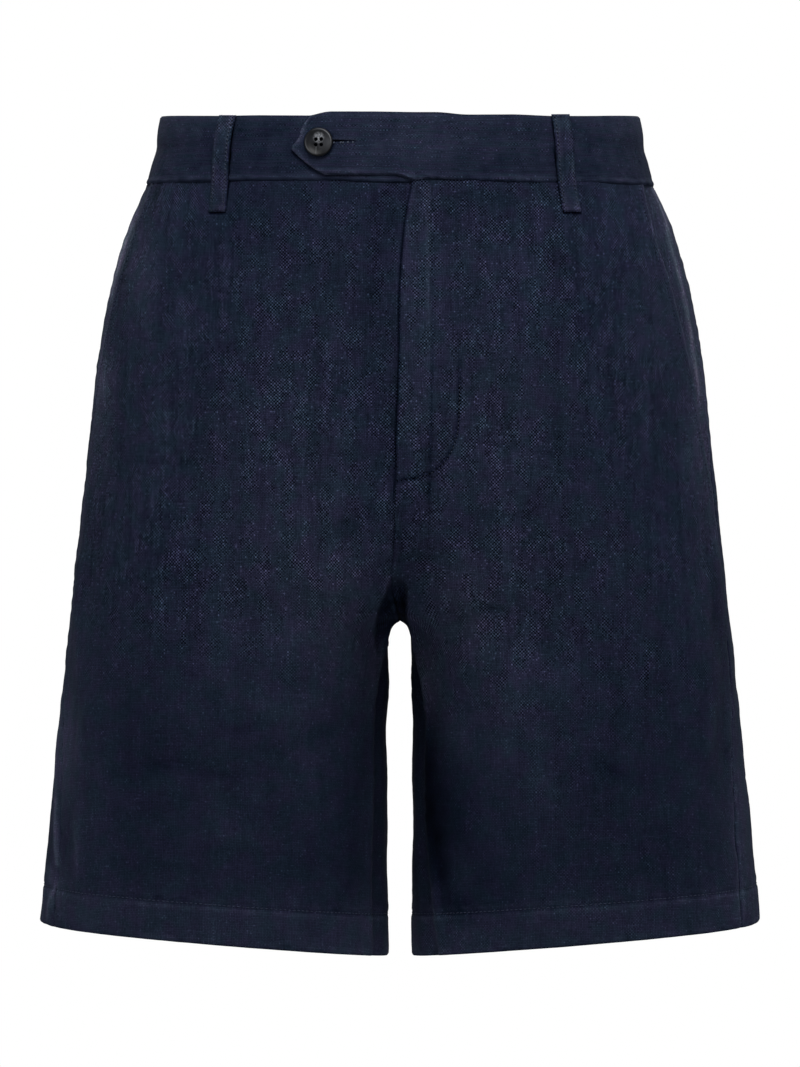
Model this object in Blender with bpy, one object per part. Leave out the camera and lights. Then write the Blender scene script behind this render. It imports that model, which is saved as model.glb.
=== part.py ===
"""Linen bermuda shorts, filled out as worn: thin hollow cloth walls, metres, +Z up.

The front faces -Y and the wearer's left is +X.  The origin is the centre of the waist.
Every sewn piece is a patch of one body surface.  Round the torso that surface is half a
rounded oval on each side, round each leg it is a closed ring, and over the crotch the one
turns into the other along the rise seam.  A place on it is given by two numbers:
  around  -1 at the inner front seam, 0 at the side, +1 at the inner back seam
  level   the height at the side, from the waist down to the hem
"""
import math

import bmesh
import bpy
import numpy as np
from mathutils import Matrix, Vector

CLOTH = 0.0012              # one layer of linen with its sewn-in give
SEAM_GAP = 0.0003           # air between pieces that are sewn together
WAIST_TOP = 0.0198
WAIST_SEAM = -0.0198
RISE_TURN = -0.187          # where the rise seam starts to curve under the body
CROTCH = -0.287
HEM = -0.470
HEM_HEIGHT = 0.0230
HEM_CLOTH = 0.0025          # the turned-up hem is two layers
HEM_DROP = 0.0210           # the hem is lower at the inseam than at the side
HEM_LIFT = 0.0027           # and a little higher at the middle of the front
OVAL = 2.3                  # 2 is an ellipse, more is squarer
FRONT_RISE = 2.8            # how tightly the rise seam turns under, front and back
BACK_RISE = 2.0
FORK_START = 0.35           # how far round from the side the fork cloth starts
FORK_SPREAD = 1.5
LEG_GAP = 0.0075            # half the gap between the legs
LEG_ARCH = 0.0180           # height of the arch at the top of that gap
LEG_ARCH_CURVE = 2.4        # 2 is an ellipse, more is squarer
FLY_END = -0.206
FLY_LIFT = 0.0017           # the left front lies over the right one by this much
FLY_UNDERLAP = 0.0060
BAND_CLOTH = 0.0022
BAND_PROUD = 0.0009
TAB_PROUD = 0.0035
LOOP_CLOTH = 0.0016
BUTTON_RADIUS = 0.0085
BUTTON_PLACE = (-0.0471, 0.0020)     # x, level
NAVY = (0.0150, 0.0200, 0.0370)
HORN = (0.0120, 0.0120, 0.0140)


def table(names, *rows):
    """Short tables of numbers: one row for each height, under named columns."""
    return {name: np.array(values) for name, values in zip(names.split(), zip(*rows))}


TORSO = table(
    "level    half_width  front   back   front_z  back_z",
    (0.0198,  0.1448, 0.1080, 0.1080, -0.0086,  0.0055),
    (-0.0198, 0.1536, 0.1100, 0.1130, -0.0058,  0.0050),
    (-0.0450, 0.1642, 0.1130, 0.1220, -0.0045,  0.0040),
    (-0.0800, 0.1750, 0.1160, 0.1320, -0.0030,  0.0030),
    (-0.1250, 0.1835, 0.1180, 0.1400, -0.0010,  0.0010),
    (-0.1870, 0.1902, 0.1165, 0.1410, 0.0000,  0.0000),
    (-0.2450, 0.1968, 0.1130, 0.1340, 0.0000,  0.0000),
    (-0.2870, 0.2010, 0.1090, 0.1260, 0.0000,  0.0000),
    (-0.3300, 0.2053, 0.1050, 0.1180, 0.0000,  0.0000))

LEG = table(
    "level    outer    inner    front   back    widest_y",
    (-0.1870, 0.1902, -0.0200, 0.1045, 0.1280, 0.0000),
    (-0.2450, 0.1968, -0.0120, 0.1012, 0.1205, 0.0030),
    (-0.2870, 0.2010, -0.0070, 0.0990, 0.1150, 0.0050),
    (-0.3050, 0.2028, 0.0020, 0.0985, 0.1125, 0.0050),
    (-0.3300, 0.2053, 0.0075, 0.0975, 0.1085, 0.0040),
    (-0.3750, 0.2098, 0.0076, 0.0950, 0.1010, 0.0020),
    (-0.4200, 0.2143, 0.0076, 0.0915, 0.0935, 0.0000),
    (-0.4700, 0.2187, 0.0076, 0.0870, 0.0860, 0.0000))

# Angles round the body in degrees, 0 at the side and minus towards the front
SEAMS = table(
    "level    side_left  side_right  pocket_left  pocket_right  inseam_left  inseam_right",
    (-0.0198,   0.0,   1.0, -22.0, -16.0, 155.0, 155.0),
    (-0.0450,  -1.0,   1.0, -27.0, -19.0, 155.0, 155.0),
    (-0.0900,  -4.0,   1.0, -26.0, -17.0, 155.0, 155.0),
    (-0.1300,  -7.0,   1.0, -23.0, -14.0, 155.0, 155.0),
    (-0.1700, -10.5,   1.0, -19.5,  -8.0, 155.0, 155.0),
    (-0.2000, -13.0,   0.5, -16.0,   0.5, 155.0, 155.0),
    (-0.2170, -14.6,   0.0, -14.6,   0.0, 155.0, 155.0),
    (-0.2870, -18.0,  -7.0, -18.0,  -7.0, 155.0, 155.0),
    (-0.3400, -24.0, -16.0, -24.0, -16.0, 156.0, 154.0),
    (-0.4100, -30.0, -27.0, -30.0, -27.0, 153.0, 152.0),
    (-0.4700, -33.0, -30.0, -33.0, -30.0, 145.0, 152.0))
POCKET_END = {1: -0.217, -1: -0.200}

# The front edge of the fly: x of the left front's edge at each height
FLY_EDGE = table(
    "level    x",
    (-0.0198,  0.0070),
    (-0.0330,  0.0048),
    (-0.0465,  0.0028),
    (-0.0610,  0.0012),
    (-0.0850, -0.0004),
    (-0.1300, -0.0008),
    (-0.2150, -0.0019))

# Soft creases: two ends as angle and level, then half width and height
FOLDS = [
    dict(side=-1, angle=(-20, -42), level=(-0.255, -0.345), width=0.010, height=0.0022),
    dict(side=-1, angle=(-42, -46), level=(-0.345, -0.440), width=0.010, height=0.0022),
    dict(side=-1, angle=(-30, -30), level=(-0.270, -0.440), width=0.009, height=-0.0016),
    dict(side=-1, angle=(-60, -95), level=(-0.380, -0.392), width=0.012, height=-0.0016),
    dict(side=-1, angle=(-118, -92), level=(-0.300, -0.345), width=0.014, height=0.0018),
    dict(side=1, angle=(-24, -46), level=(-0.250, -0.365), width=0.010, height=0.0020),
    dict(side=1, angle=(-30, -34), level=(-0.290, -0.420), width=0.009, height=-0.0016),
    dict(side=1, angle=(-122, -88), level=(-0.282, -0.300), width=0.009, height=-0.0020),
    dict(side=1, angle=(-126, -96), level=(-0.300, -0.325), width=0.012, height=0.0022),
    dict(side=1, angle=(-110, -70), level=(-0.395, -0.375), width=0.012, height=0.0018),
    dict(side=-1, angle=(60, 150), level=(-0.270, -0.300), width=0.014, height=-0.0024),
    dict(side=-1, angle=(70, 160), level=(-0.300, -0.330), width=0.014, height=0.0022),
    dict(side=-1, angle=(60, 66), level=(-0.330, -0.440), width=0.012, height=0.0020),
    dict(side=1, angle=(55, 150), level=(-0.275, -0.296), width=0.014, height=-0.0024),
    dict(side=1, angle=(64, 158), level=(-0.306, -0.326), width=0.014, height=0.0020),
    dict(side=1, angle=(72, 62), level=(-0.340, -0.440), width=0.012, height=0.0020)]


def read(rows, name, level):
    """A smooth curve through one column of a table, read at a level."""
    knots, values = rows["level"][::-1], rows[name][::-1]
    slopes = np.gradient(values, knots)
    i = np.clip(np.searchsorted(knots, level) - 1, 0, len(knots) - 2)
    step = knots[i + 1] - knots[i]
    t = np.clip((level - knots[i]) / step, 0.0, 1.0)
    start = values[i] * (1 + 2 * t) * (1 - t) ** 2 + slopes[i] * step * t * (1 - t) ** 2
    end = values[i + 1] * (3 - 2 * t) * t ** 2 - slopes[i + 1] * step * t ** 2 * (1 - t)
    return start + end


def ease(value):
    """0 up to 0, 1 from 1 on, and smooth between."""
    t = np.clip(value, 0.0, 1.0)
    return t * t * (3 - 2 * t)


def oval(angle):
    """Unit rounded oval: the x and y of a point at an angle in radians."""
    x, y = np.cos(angle), np.sin(angle)
    reach = (np.abs(x) ** OVAL + np.abs(y) ** OVAL) ** (1 / OVAL)
    return x / reach, y / reach


def torso_point(around, level):
    x, y = oval(around * math.pi / 2)
    back = y > 0
    depth = np.where(back, read(TORSO, "back", level), read(TORSO, "front", level))
    shift = np.where(back, read(TORSO, "back_z", level), read(TORSO, "front_z", level))
    return x * read(TORSO, "half_width", level), y * depth, shift * np.abs(y) ** 1.3


def leg_angle(side, around, level):
    """Degrees round the leg; the cloth near the rise seam spreads out into the fork."""
    inseam = read(SEAMS, "inseam_left" if side > 0 else "inseam_right", level)
    fork = np.where(around < 0, inseam, 360 - inseam) - 90
    near_seam = np.clip((np.abs(around) - FORK_START) / (1 - FORK_START), 0.0, 1.2)
    return 90 * around + np.sign(around) * fork * near_seam ** FORK_SPREAD


def leg_point(side, around, level):
    x, y = oval(np.radians(leg_angle(side, around, level)))
    outer, inner = read(LEG, "outer", level), read(LEG, "inner", level)
    widest = read(LEG, "widest_y", level)
    depth = np.where(y > 0, read(LEG, "back", level) - widest,
                     read(LEG, "front", level) + widest)
    return (outer + inner) / 2 + x * (outer - inner) / 2, widest + y * depth, y


def rise_height(y, level):
    """Height of the rise seam, which runs under the body from front to back."""
    level = np.maximum(level, CROTCH)
    crotch_y = leg_point(1, -np.ones(np.shape(level)), level)[1]
    front, back = read(TORSO, "front", level), read(TORSO, "back", level)
    inward = np.where(y < crotch_y, (y + front) / (crotch_y + front),
                      (back - y) / (back - crotch_y))
    power = np.where(y < crotch_y, FRONT_RISE, BACK_RISE)
    fall = (1 - (1 - np.clip(inward, 0.0, 1.0)) ** power) ** (1 / power)
    return RISE_TURN - (RISE_TURN - CROTCH) * fall


def surface(side, around, level):
    """The body surface of one half, before folds, as an array of points."""
    down = np.clip((RISE_TURN - level) / (RISE_TURN - CROTCH), 0.0, 1.0)
    power = np.where(around < 0, FRONT_RISE, BACK_RISE)
    turn = down * math.pi / 2
    seam_in = 1 - np.clip(np.cos(turn), 0.0, 1.0) ** (2 / power)
    seam_fall = np.sin(turn) ** (2 / power)
    near_seam = ease((np.abs(around) - 0.5) / 0.5)
    weight = ease(down) + (seam_in - ease(down)) * near_seam
    fall = down + (seam_fall - down) * near_seam

    crotch_fall = RISE_TURN - (RISE_TURN - CROTCH) * fall
    level_here = np.where((level < RISE_TURN) & (level > CROTCH), crotch_fall, level)

    torso_x, torso_y, shift = torso_point(around, level_here)
    leg_x, leg_y, towards_back = leg_point(side, around, level_here)
    x = torso_x + (leg_x - torso_x) * weight
    y = torso_y + (leg_y - torso_y) * weight

    below = np.clip((CROTCH - level) / (CROTCH - HEM), 0.0, 1.0)
    outer, inner = read(LEG, "outer", level), read(LEG, "inner", level)
    z = np.where(level > RISE_TURN, level + shift, level_here)
    inward = np.clip((outer - x) / (outer - inner), 0.0, 1.0)
    z = z - HEM_DROP * below * inward
    z = z + HEM_LIFT * below * np.clip(-towards_back, 0.0, 1.0) * (0.4 + 1.25 * inward)

    reach = np.clip((rise_height(y, level_here) - z) / LEG_ARCH, 0.0, 1.0)
    opened = (1 - (1 - reach) ** LEG_ARCH_CURVE) ** (1 / LEG_ARCH_CURVE)
    arch = SEAM_GAP / 2 + LEG_GAP * opened
    x = np.where(level < RISE_TURN, np.maximum(x, arch), x)
    return np.stack([x, y, z], axis=-1)


def degrees_to_around(angle, level):
    """The around value of an angle, on the torso, on the leg and between them."""
    tries = np.linspace(-1.0, 1.0, 401)
    found = []
    for degrees, height in zip(angle, level):
        down = np.clip((RISE_TURN - height) / (RISE_TURN - CROTCH), 0.0, 1.0)
        turned = 90 * tries * (1 - down) + leg_angle(1, tries, height) * down
        found.append(np.interp(degrees, turned, tries))
    return np.array(found)


def x_to_around(x, level):
    """The around value at the front of the torso, at a distance x from the middle."""
    ratio = np.clip(np.abs(x) / read(TORSO, "half_width", level), 1e-6, 1.0)
    angle = np.degrees(np.arctan((ratio ** -OVAL - 1) ** (1 / OVAL)))
    return np.where(x > 0, -angle, angle - 180) / 90


def fold_height(side, around, level):
    """How far the creases lift the cloth; they die out at the rise seam."""
    height = np.zeros(np.shape(around))
    for fold in FOLDS:
        if fold["side"] != side:
            continue
        levels = np.array(fold["level"])
        ends = surface(side, degrees_to_around(np.array(fold["angle"]), levels), levels)
        points = surface(side, around, level)
        along = ends[1] - ends[0]
        t = np.clip(((points - ends[0]) @ along) / (along @ along), 0.0, 1.0)
        away = np.linalg.norm(points - ends[0] - t[..., None] * along, axis=-1)
        bowed = fold["width"] * (1 + 1.2 * np.sin(math.pi * t))
        height += fold["height"] * np.exp(-(away / bowed) ** 2)
    fading = ease((level - CROTCH + 0.03) / 0.03)
    return height * (1 - fading * (1 - ease((1 - np.abs(around)) / 0.15)))


def outward(side, around, level):
    """Unit normals of the body surface, pointing out of the garment."""
    small_turn, small_drop = 0.002, 0.0006
    limit = np.where(level > RISE_TURN, 2.0, 1.0)
    across = (surface(side, np.minimum(around + small_turn, limit), level)
              - surface(side, np.maximum(around - small_turn, -limit), level))
    down = (surface(side, around, level - small_drop)
            - surface(side, around, level + small_drop))
    normal = np.cross(down, across)
    return normal / np.linalg.norm(normal, axis=-1, keepdims=True)


def cloth_point(side, around, level, height):
    """Points at a height above the body surface, on the side asked for."""
    lift = fold_height(side, around, level) + height
    points = surface(side, around, level) + outward(side, around, level) * lift[..., None]
    return points * np.array([side, 1.0, 1.0])


def finish(name, mesh, colour, roughness):
    """Give a mesh its object, its material and smooth shading."""
    material = bpy.data.materials.new(name)
    material.use_nodes = True
    shader = material.node_tree.nodes["Principled BSDF"]
    shader.inputs["Base Color"].default_value = (*colour, 1.0)
    shader.inputs["Roughness"].default_value = roughness
    shader.inputs["Metallic"].default_value = 0.0
    mesh.materials.append(material)
    mesh.shade_smooth()
    mesh.set_sharp_from_angle(angle=math.radians(40))
    obj = bpy.data.objects.new(name, mesh)
    bpy.context.scene.collection.objects.link(obj)
    return obj


def patch(name, side, around, level, height, thickness):
    """A cloth wall over a grid of the body surface: outer face, inner face and rim."""
    height = np.broadcast_to(height, around.shape)
    outer = cloth_point(side, around, level, height)
    inner = cloth_point(side, around, level, height - thickness)
    rows, columns = around.shape
    count = rows * columns

    def at(i, j, layer):
        return layer * count + i * columns + j

    faces = []
    for layer in (0, 1):
        for i in range(rows - 1):
            for j in range(columns - 1):
                quad = [at(i, j, layer), at(i + 1, j, layer),
                        at(i + 1, j + 1, layer), at(i, j + 1, layer)]
                faces.append(quad if layer == 0 else quad[::-1])
    rim = [(i, 0) for i in range(rows)] + [(rows - 1, j) for j in range(1, columns)]
    rim += [(i, columns - 1) for i in range(rows - 2, -1, -1)]
    rim += [(0, j) for j in range(columns - 2, 0, -1)]
    for here, after in zip(rim, rim[1:] + rim[:1]):
        faces.append([at(*here, 0), at(*here, 1), at(*after, 1), at(*after, 0)])

    mesh = bpy.data.meshes.new(name)
    mesh.from_pydata(np.concatenate([outer, inner]).reshape(-1, 3).tolist(), [], faces)
    soup = bmesh.new()
    soup.from_mesh(mesh)
    bmesh.ops.recalc_face_normals(soup, faces=soup.faces)
    soup.to_mesh(mesh)
    soup.free()
    return finish(name, mesh, NAVY, 0.85)


def body_levels():
    """Heights of the rows that all four panels share."""
    torso = [WAIST_SEAM - SEAM_GAP / 2, -0.033, -0.048, -0.070, -0.097, -0.130, -0.165]
    crotch = [RISE_TURN, -0.200, -0.208, -0.217, -0.228, -0.240, -0.252, -0.263, -0.273,
              -0.281, CROTCH]
    arch = [-0.2895, -0.294, -0.301]
    leg = [-0.314, -0.332, -0.354, -0.378, -0.402, -0.425]
    turn_up = HEM + HEM_HEIGHT
    return np.array(torso + crotch + arch + leg + [turn_up, turn_up - 0.002, HEM])


def grid(start, end, level, columns, crowd_start=1.0, crowd_end=1.0):
    """A grid whose rows run from edge to edge, with columns crowded towards one edge."""
    across = np.linspace(0.0, 1.0, columns)[None, :] ** crowd_start
    across = 1 - (1 - across) ** crowd_end
    around = start[:, None] * (1 - across) + end[:, None] * across
    return around, np.broadcast_to(level[:, None], around.shape)


def wall(level):
    """Thickness of a leg panel, which is doubled inward by its turned-up hem."""
    turn_up = HEM + HEM_HEIGHT - 0.001
    return np.where(level < turn_up, HEM_CLOTH, CLOTH)


def seam_side(side, level):
    name = "side_left" if side > 0 else "side_right"
    return degrees_to_around(read(SEAMS, name, level), level)


def pocket_edge(side, level):
    name = "pocket_left" if side > 0 else "pocket_right"
    return degrees_to_around(read(SEAMS, name, level), level)


def half_gap(level):
    """Half a seam gap, as an around value."""
    return SEAM_GAP / 2 / np.where(level > CROTCH, 0.17, 0.50)


def front_panel(name, side):
    level = body_levels()
    fly = level > FLY_END
    middle = x_to_around(np.full(level.shape, SEAM_GAP / 2), level)
    if side > 0:
        start = np.where(fly, x_to_around(read(FLY_EDGE, "x", level), level), middle)
    else:
        start = np.where(fly, x_to_around(np.full(level.shape, -FLY_UNDERLAP), level), middle)
    start = np.where(level < FLY_END, -1.0, start)
    start = np.where(level < CROTCH + 0.02, -1 + half_gap(level), start)
    pocket = level > POCKET_END[side] + 0.001
    end = np.where(pocket, pocket_edge(side, level), seam_side(side, level))
    around, levels = grid(start, end - half_gap(level), level, 20, crowd_start=1.35)
    x = surface(side, around, levels)[..., 0]
    if side > 0:
        lifted = ease((0.034 - x) / 0.014) * ease((levels - FLY_END + 0.020) / 0.016)
        height = FLY_LIFT * lifted
    else:
        height = np.zeros(around.shape)
    return patch(name, side, around, levels, height, wall(levels))


def back_panel(name, side):
    level = body_levels()
    start = seam_side(side, level) + half_gap(level)
    end = 1 - half_gap(level)
    around, levels = grid(start, end, level, 22, crowd_end=1.35)
    return patch(name, side, around, levels, 0.0, wall(levels))


def pocket_facing(name, side):
    """The cloth that shows in the slanted pocket opening, tucked under the front."""
    level = body_levels()
    level = level[level > POCKET_END[side] - 0.001]
    edge = pocket_edge(side, level)
    seam = seam_side(side, level)
    around, levels = grid(edge - 0.075, seam - half_gap(level), level, 9)
    open_width = np.maximum(seam - edge, 1e-4)[:, None]
    rise = ease((around - edge[:, None]) / open_width) * np.clip(open_width / 0.06, 0, 1)
    tucked = CLOTH + SEAM_GAP
    height = tucked * (rise - 1)
    return patch(name, side, around, levels, height, CLOTH)


def tab_end(share):
    """The pointed end of the waistband's tab: x at a share of the band's height."""
    return np.interp(share, [0.0, 0.07, 0.19, 0.43, 0.62, 0.84, 1.0],
                     [-0.0415, -0.0452, -0.0503, -0.0626, -0.0595, -0.0570, -0.0535])


def waistband(name, side):
    share = np.array([0.0, 0.07, 0.19, 0.31, 0.43, 0.62, 0.84, 1.0])
    bottom, top = WAIST_SEAM + SEAM_GAP / 2, WAIST_TOP
    level = bottom + (top - bottom) * share
    back_end = 1 - half_gap(level)
    if side > 0:
        front_end = x_to_around(tab_end(share), level)
    else:
        front_end = x_to_around(np.full(share.shape, -0.010), level)
    front, levels = grid(front_end, np.full(share.shape, -0.72), level, 15)
    rest, _ = grid(np.full(share.shape, -0.72), back_end, level, 20)
    around = np.concatenate([front, rest[:, 1:]], axis=1)
    levels = np.broadcast_to(level[:, None], around.shape).copy()
    height = np.full(around.shape, BAND_PROUD)
    if side > 0:
        x = np.where(around < 0, surface(side, around, levels)[..., 0], 1.0)
        height += (TAB_PROUD - BAND_PROUD) * ease((0.046 - x) / 0.022)
        upper = share[:, None]
        levels += 0.0032 * (1 - upper) * ease((0.012 - x) / 0.010)
        levels += upper * (0.0013 * ease((0.040 - x) / 0.020)
                           + 0.0010 * ease((0.012 - x) / 0.030)
                           - 0.0021 * ease((-0.040 - x) / 0.016))
    return patch(name, side, around, levels, height, BAND_CLOTH)


LOOP_SHAPE = table(
    "level   under",
    (0.0210,  0.0013),
    (0.0150,  0.0022),
    (0.0050,  0.0032),
    (-0.0070, 0.0030),
    (-0.0160, 0.0021),
    (-0.0230, 0.0014),
    (-0.0320, 0.0008),
    (-0.0380, 0.0004),
    (-0.0405, 0.0004))

# The loops' middles round the body: at the top, at the bottom, how far they bow, their width
LOOPS = {"front_left": (1, -0.572, -0.591, 0.002, 0.0122),
         "front_right": (-1, -0.535, -0.562, 0.011, 0.0116),
         "back_left": (1, 0.56, 0.56, 0.0, 0.0112),
         "back_right": (-1, 0.56, 0.56, 0.0, 0.0112),
         "centre_back": (1, 1.0, 1.0, 0.0, 0.0112)}


def belt_loop(name, side, top, bottom, bow, width):
    """A flat loop, tacked at the top of the band and again below its seam."""
    level = LOOP_SHAPE["level"]
    share = (level - level[-1]) / (level[0] - level[-1])
    middle = bottom + (top - bottom) * share + bow * np.sin(math.pi * share)
    small_turn = 0.01
    reach = surface(side, middle + small_turn, level) - surface(side, middle - small_turn, level)
    half_turn = width * small_turn / np.linalg.norm(reach, axis=-1)
    around, levels = grid(middle - half_turn, middle + half_turn, level, 5)
    under = np.broadcast_to(LOOP_SHAPE["under"][:, None], around.shape)
    return patch(name, side, around, levels, under + LOOP_CLOTH, LOOP_CLOTH)


def button(name):
    """A turned four-hole button with a raised rim, on the tab."""
    profile = [(0.0, 0.0012), (0.0045, 0.0013), (0.0056, 0.0020), (0.0068, 0.0026),
               (0.0078, 0.0025), (BUTTON_RADIUS, 0.0016), (BUTTON_RADIUS, 0.0008),
               (0.0070, 0.0000), (0.0, 0.0000)]
    x, level = BUTTON_PLACE
    around = x_to_around(np.array([x]), np.array([level]))
    levels = np.array([level])
    normal = Vector(outward(1, around, levels)[0])
    centre = Vector(cloth_point(1, around, levels, np.array([TAB_PROUD + 0.0006]))[0])
    place = Matrix.Translation(centre) @ normal.to_track_quat("Z", "Y").to_matrix().to_4x4()

    soup = bmesh.new()
    ring = [soup.verts.new((radius, 0.0, height)) for radius, height in profile]
    edges = [soup.edges.new(pair) for pair in zip(ring, ring[1:])]
    bmesh.ops.spin(soup, geom=ring + edges, cent=(0, 0, 0), axis=(0, 0, 1),
                   angle=2 * math.pi, steps=32, use_merge=True)
    bmesh.ops.remove_doubles(soup, verts=soup.verts, dist=1e-5)
    bmesh.ops.recalc_face_normals(soup, faces=soup.faces)
    mesh = bpy.data.meshes.new(name)
    soup.to_mesh(mesh)
    soup.free()
    obj = finish(name, mesh, HORN, 0.4)
    obj.matrix_world = place

    hole_radius, hole_distance = 0.00095, 0.0024
    for number in range(4):
        turn = math.radians(45 + 90 * number)
        bpy.ops.mesh.primitive_cylinder_add(vertices=12, radius=hole_radius, depth=0.01)
        cutter = bpy.context.object
        cutter.name = f"hole_cutter_{number}"
        offset = Vector((math.cos(turn), math.sin(turn), 0.0)) * hole_distance
        cutter.matrix_world = place @ Matrix.Translation(offset)
        cutter.hide_render = True
        cutter.display_type = "WIRE"
        cut = obj.modifiers.new(cutter.name, "BOOLEAN")
        cut.object = cutter
        cut.operation = "DIFFERENCE"
        cut.solver = "EXACT"
    return obj


for leftover in list(bpy.data.objects):
    bpy.data.objects.remove(leftover, do_unlink=True)

for label, side in (("left", 1), ("right", -1)):
    front_panel(f"front_{label}", side)
    back_panel(f"back_{label}", side)
    pocket_facing(f"pocket_facing_{label}", side)
    waistband(f"waistband_{label}", side)

for label, places in LOOPS.items():
    belt_loop(f"belt_loop_{label}", *places)
button("button")
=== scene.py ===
# Navy linen bermuda shorts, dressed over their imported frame.  Metres, +Z up, front towards -Y.
import math

import bmesh
import bpy
import numpy as np
from mathutils import Matrix, Vector


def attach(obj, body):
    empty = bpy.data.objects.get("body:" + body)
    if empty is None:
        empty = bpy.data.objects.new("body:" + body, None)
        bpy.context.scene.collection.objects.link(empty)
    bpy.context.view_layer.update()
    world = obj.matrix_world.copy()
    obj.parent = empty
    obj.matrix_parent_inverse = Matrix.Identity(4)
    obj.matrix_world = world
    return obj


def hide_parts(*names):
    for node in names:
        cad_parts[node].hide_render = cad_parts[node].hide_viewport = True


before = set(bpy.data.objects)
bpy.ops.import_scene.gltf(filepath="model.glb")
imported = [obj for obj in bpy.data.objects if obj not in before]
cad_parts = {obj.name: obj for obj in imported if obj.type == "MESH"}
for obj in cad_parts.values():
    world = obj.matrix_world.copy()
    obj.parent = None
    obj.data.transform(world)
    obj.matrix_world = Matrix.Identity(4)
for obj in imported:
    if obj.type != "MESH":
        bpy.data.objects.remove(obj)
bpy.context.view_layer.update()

# ---- The view -----------------------------------------------------------------------------
# The shorts are looked at straight from the front, from three metres away and a little
# below the waist, through a long lens, so that the legs show with almost no perspective.
def place_object(name, data):
    """Put a mesh, a lamp or a camera into the scene under its name."""
    placed = bpy.data.objects.new(name, data)
    bpy.context.scene.collection.objects.link(placed)
    return placed


view_data = bpy.data.cameras.new("camera")
view_data.sensor_width, view_data.lens = 36.0, 165.9
view = place_object("camera", view_data)
view.location = (0.0, -3.0, -0.234)
view.rotation_euler = (math.pi / 2, 0.0, 0.0)
bpy.context.scene.camera = view

# ---- Fronts -------------------------------------------------------------------------------
# Two front panels of washed navy linen, cut with a slanted pocket edge, a curved rise and a
# turned-up hem.  The wearer's left one ends in a fly that is folded under, topstitched in a
# J and laid over the right one.  All the cloth is shaped over one body surface: round the
# torso half a rounded oval on each side, round each leg a closed ring, joined at the rise.
CLOTH = 0.0012                  # thickness of one layer of linen
SEAM_GAP = 0.0003               # air between the front and the facing under it
SEAM_OVERLAP = 0.0001           # how far the two halves meet past the middle
WAIST_TOP = 0.0198              # heights: the band's upper edge,
WAIST_SEAM = -0.0198            # the seam under the band,
RISE_TURN = -0.187              # where the rise seam starts to turn under the body,
CROTCH = -0.287                 # the lowest place of that seam,
HEM = -0.470                    # and the lower edge of the legs at the side
HEM_HEIGHT = 0.0230             # how far the hem is turned up
HEM_CLOTH = 0.0025              # its double cloth
HEM_DROP = 0.0210               # how much lower it hangs inside the leg than outside
HEM_LIFT = 0.0027               # how much higher it hangs in front
OVAL = 2.3                      # how square the rounded ovals are, 2 being an ellipse
FRONT_RISE = 2.8                # how square the bend of the rise seam is, in front
BACK_RISE = 2.0                 # and behind
FORK_START = 0.35               # from where on the leg's cloth spreads into the fork,
FORK_SPREAD = 1.5               # and how late it does
LEG_GAP = 0.0075                # half the gap between the legs
LEG_ARCH = 0.0180               # the height over which that gap opens
FLY_END = -0.206                # height of the fly's lower end
FLY_LIFT = 0.0017               # how far the folded fly stands off the body
FLY_UNDERLAP = 0.0085           # how far the right front runs on under it
CELL = 0.0016                   # size of the cloth's mesh cells


def table(names, *rows):
    """Short tables of numbers: one row for each height or crease, under named columns."""
    return {name: np.array(values) for name, values in zip(names.split(), zip(*rows))}


# The body under the cloth at the height of its side: how wide it is and how deep in front
# and behind, and how much higher or lower the cloth hangs at the middle
TORSO = table(
    "level    half_width  front   back   front_z  back_z",
    (0.0198,  0.1448, 0.1080, 0.1080, -0.0086,  0.0055),
    (-0.0198, 0.1536, 0.1100, 0.1130, -0.0058,  0.0050),
    (-0.0450, 0.1642, 0.1130, 0.1220, -0.0045,  0.0040),
    (-0.0800, 0.1750, 0.1160, 0.1320, -0.0030,  0.0030),
    (-0.1250, 0.1835, 0.1180, 0.1400, -0.0010,  0.0010),
    (-0.1870, 0.1902, 0.1165, 0.1410, 0.0000,  0.0000),
    (-0.2450, 0.1968, 0.1130, 0.1340, 0.0000,  0.0000),
    (-0.2870, 0.2010, 0.1090, 0.1260, 0.0000,  0.0000),
    (-0.3300, 0.2053, 0.1050, 0.1180, 0.0000,  0.0000))

# Each leg's ring: its outer and inner reach, how deep it is, and where it is widest
LEG = table(
    "level    outer    inner    front   back    widest_y",
    (-0.1870, 0.1902, -0.0200, 0.1045, 0.1280, 0.0000),
    (-0.2450, 0.1968, -0.0120, 0.1012, 0.1205, 0.0030),
    (-0.2870, 0.2010, -0.0070, 0.0990, 0.1150, 0.0050),
    (-0.3050, 0.2028, 0.0020, 0.0985, 0.1125, 0.0050),
    (-0.3300, 0.2053, 0.0075, 0.0975, 0.1085, 0.0040),
    (-0.3750, 0.2098, 0.0076, 0.0950, 0.1010, 0.0020),
    (-0.4200, 0.2143, 0.0076, 0.0915, 0.0935, 0.0000),
    (-0.4700, 0.2187, 0.0076, 0.0870, 0.0860, 0.0000))

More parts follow.
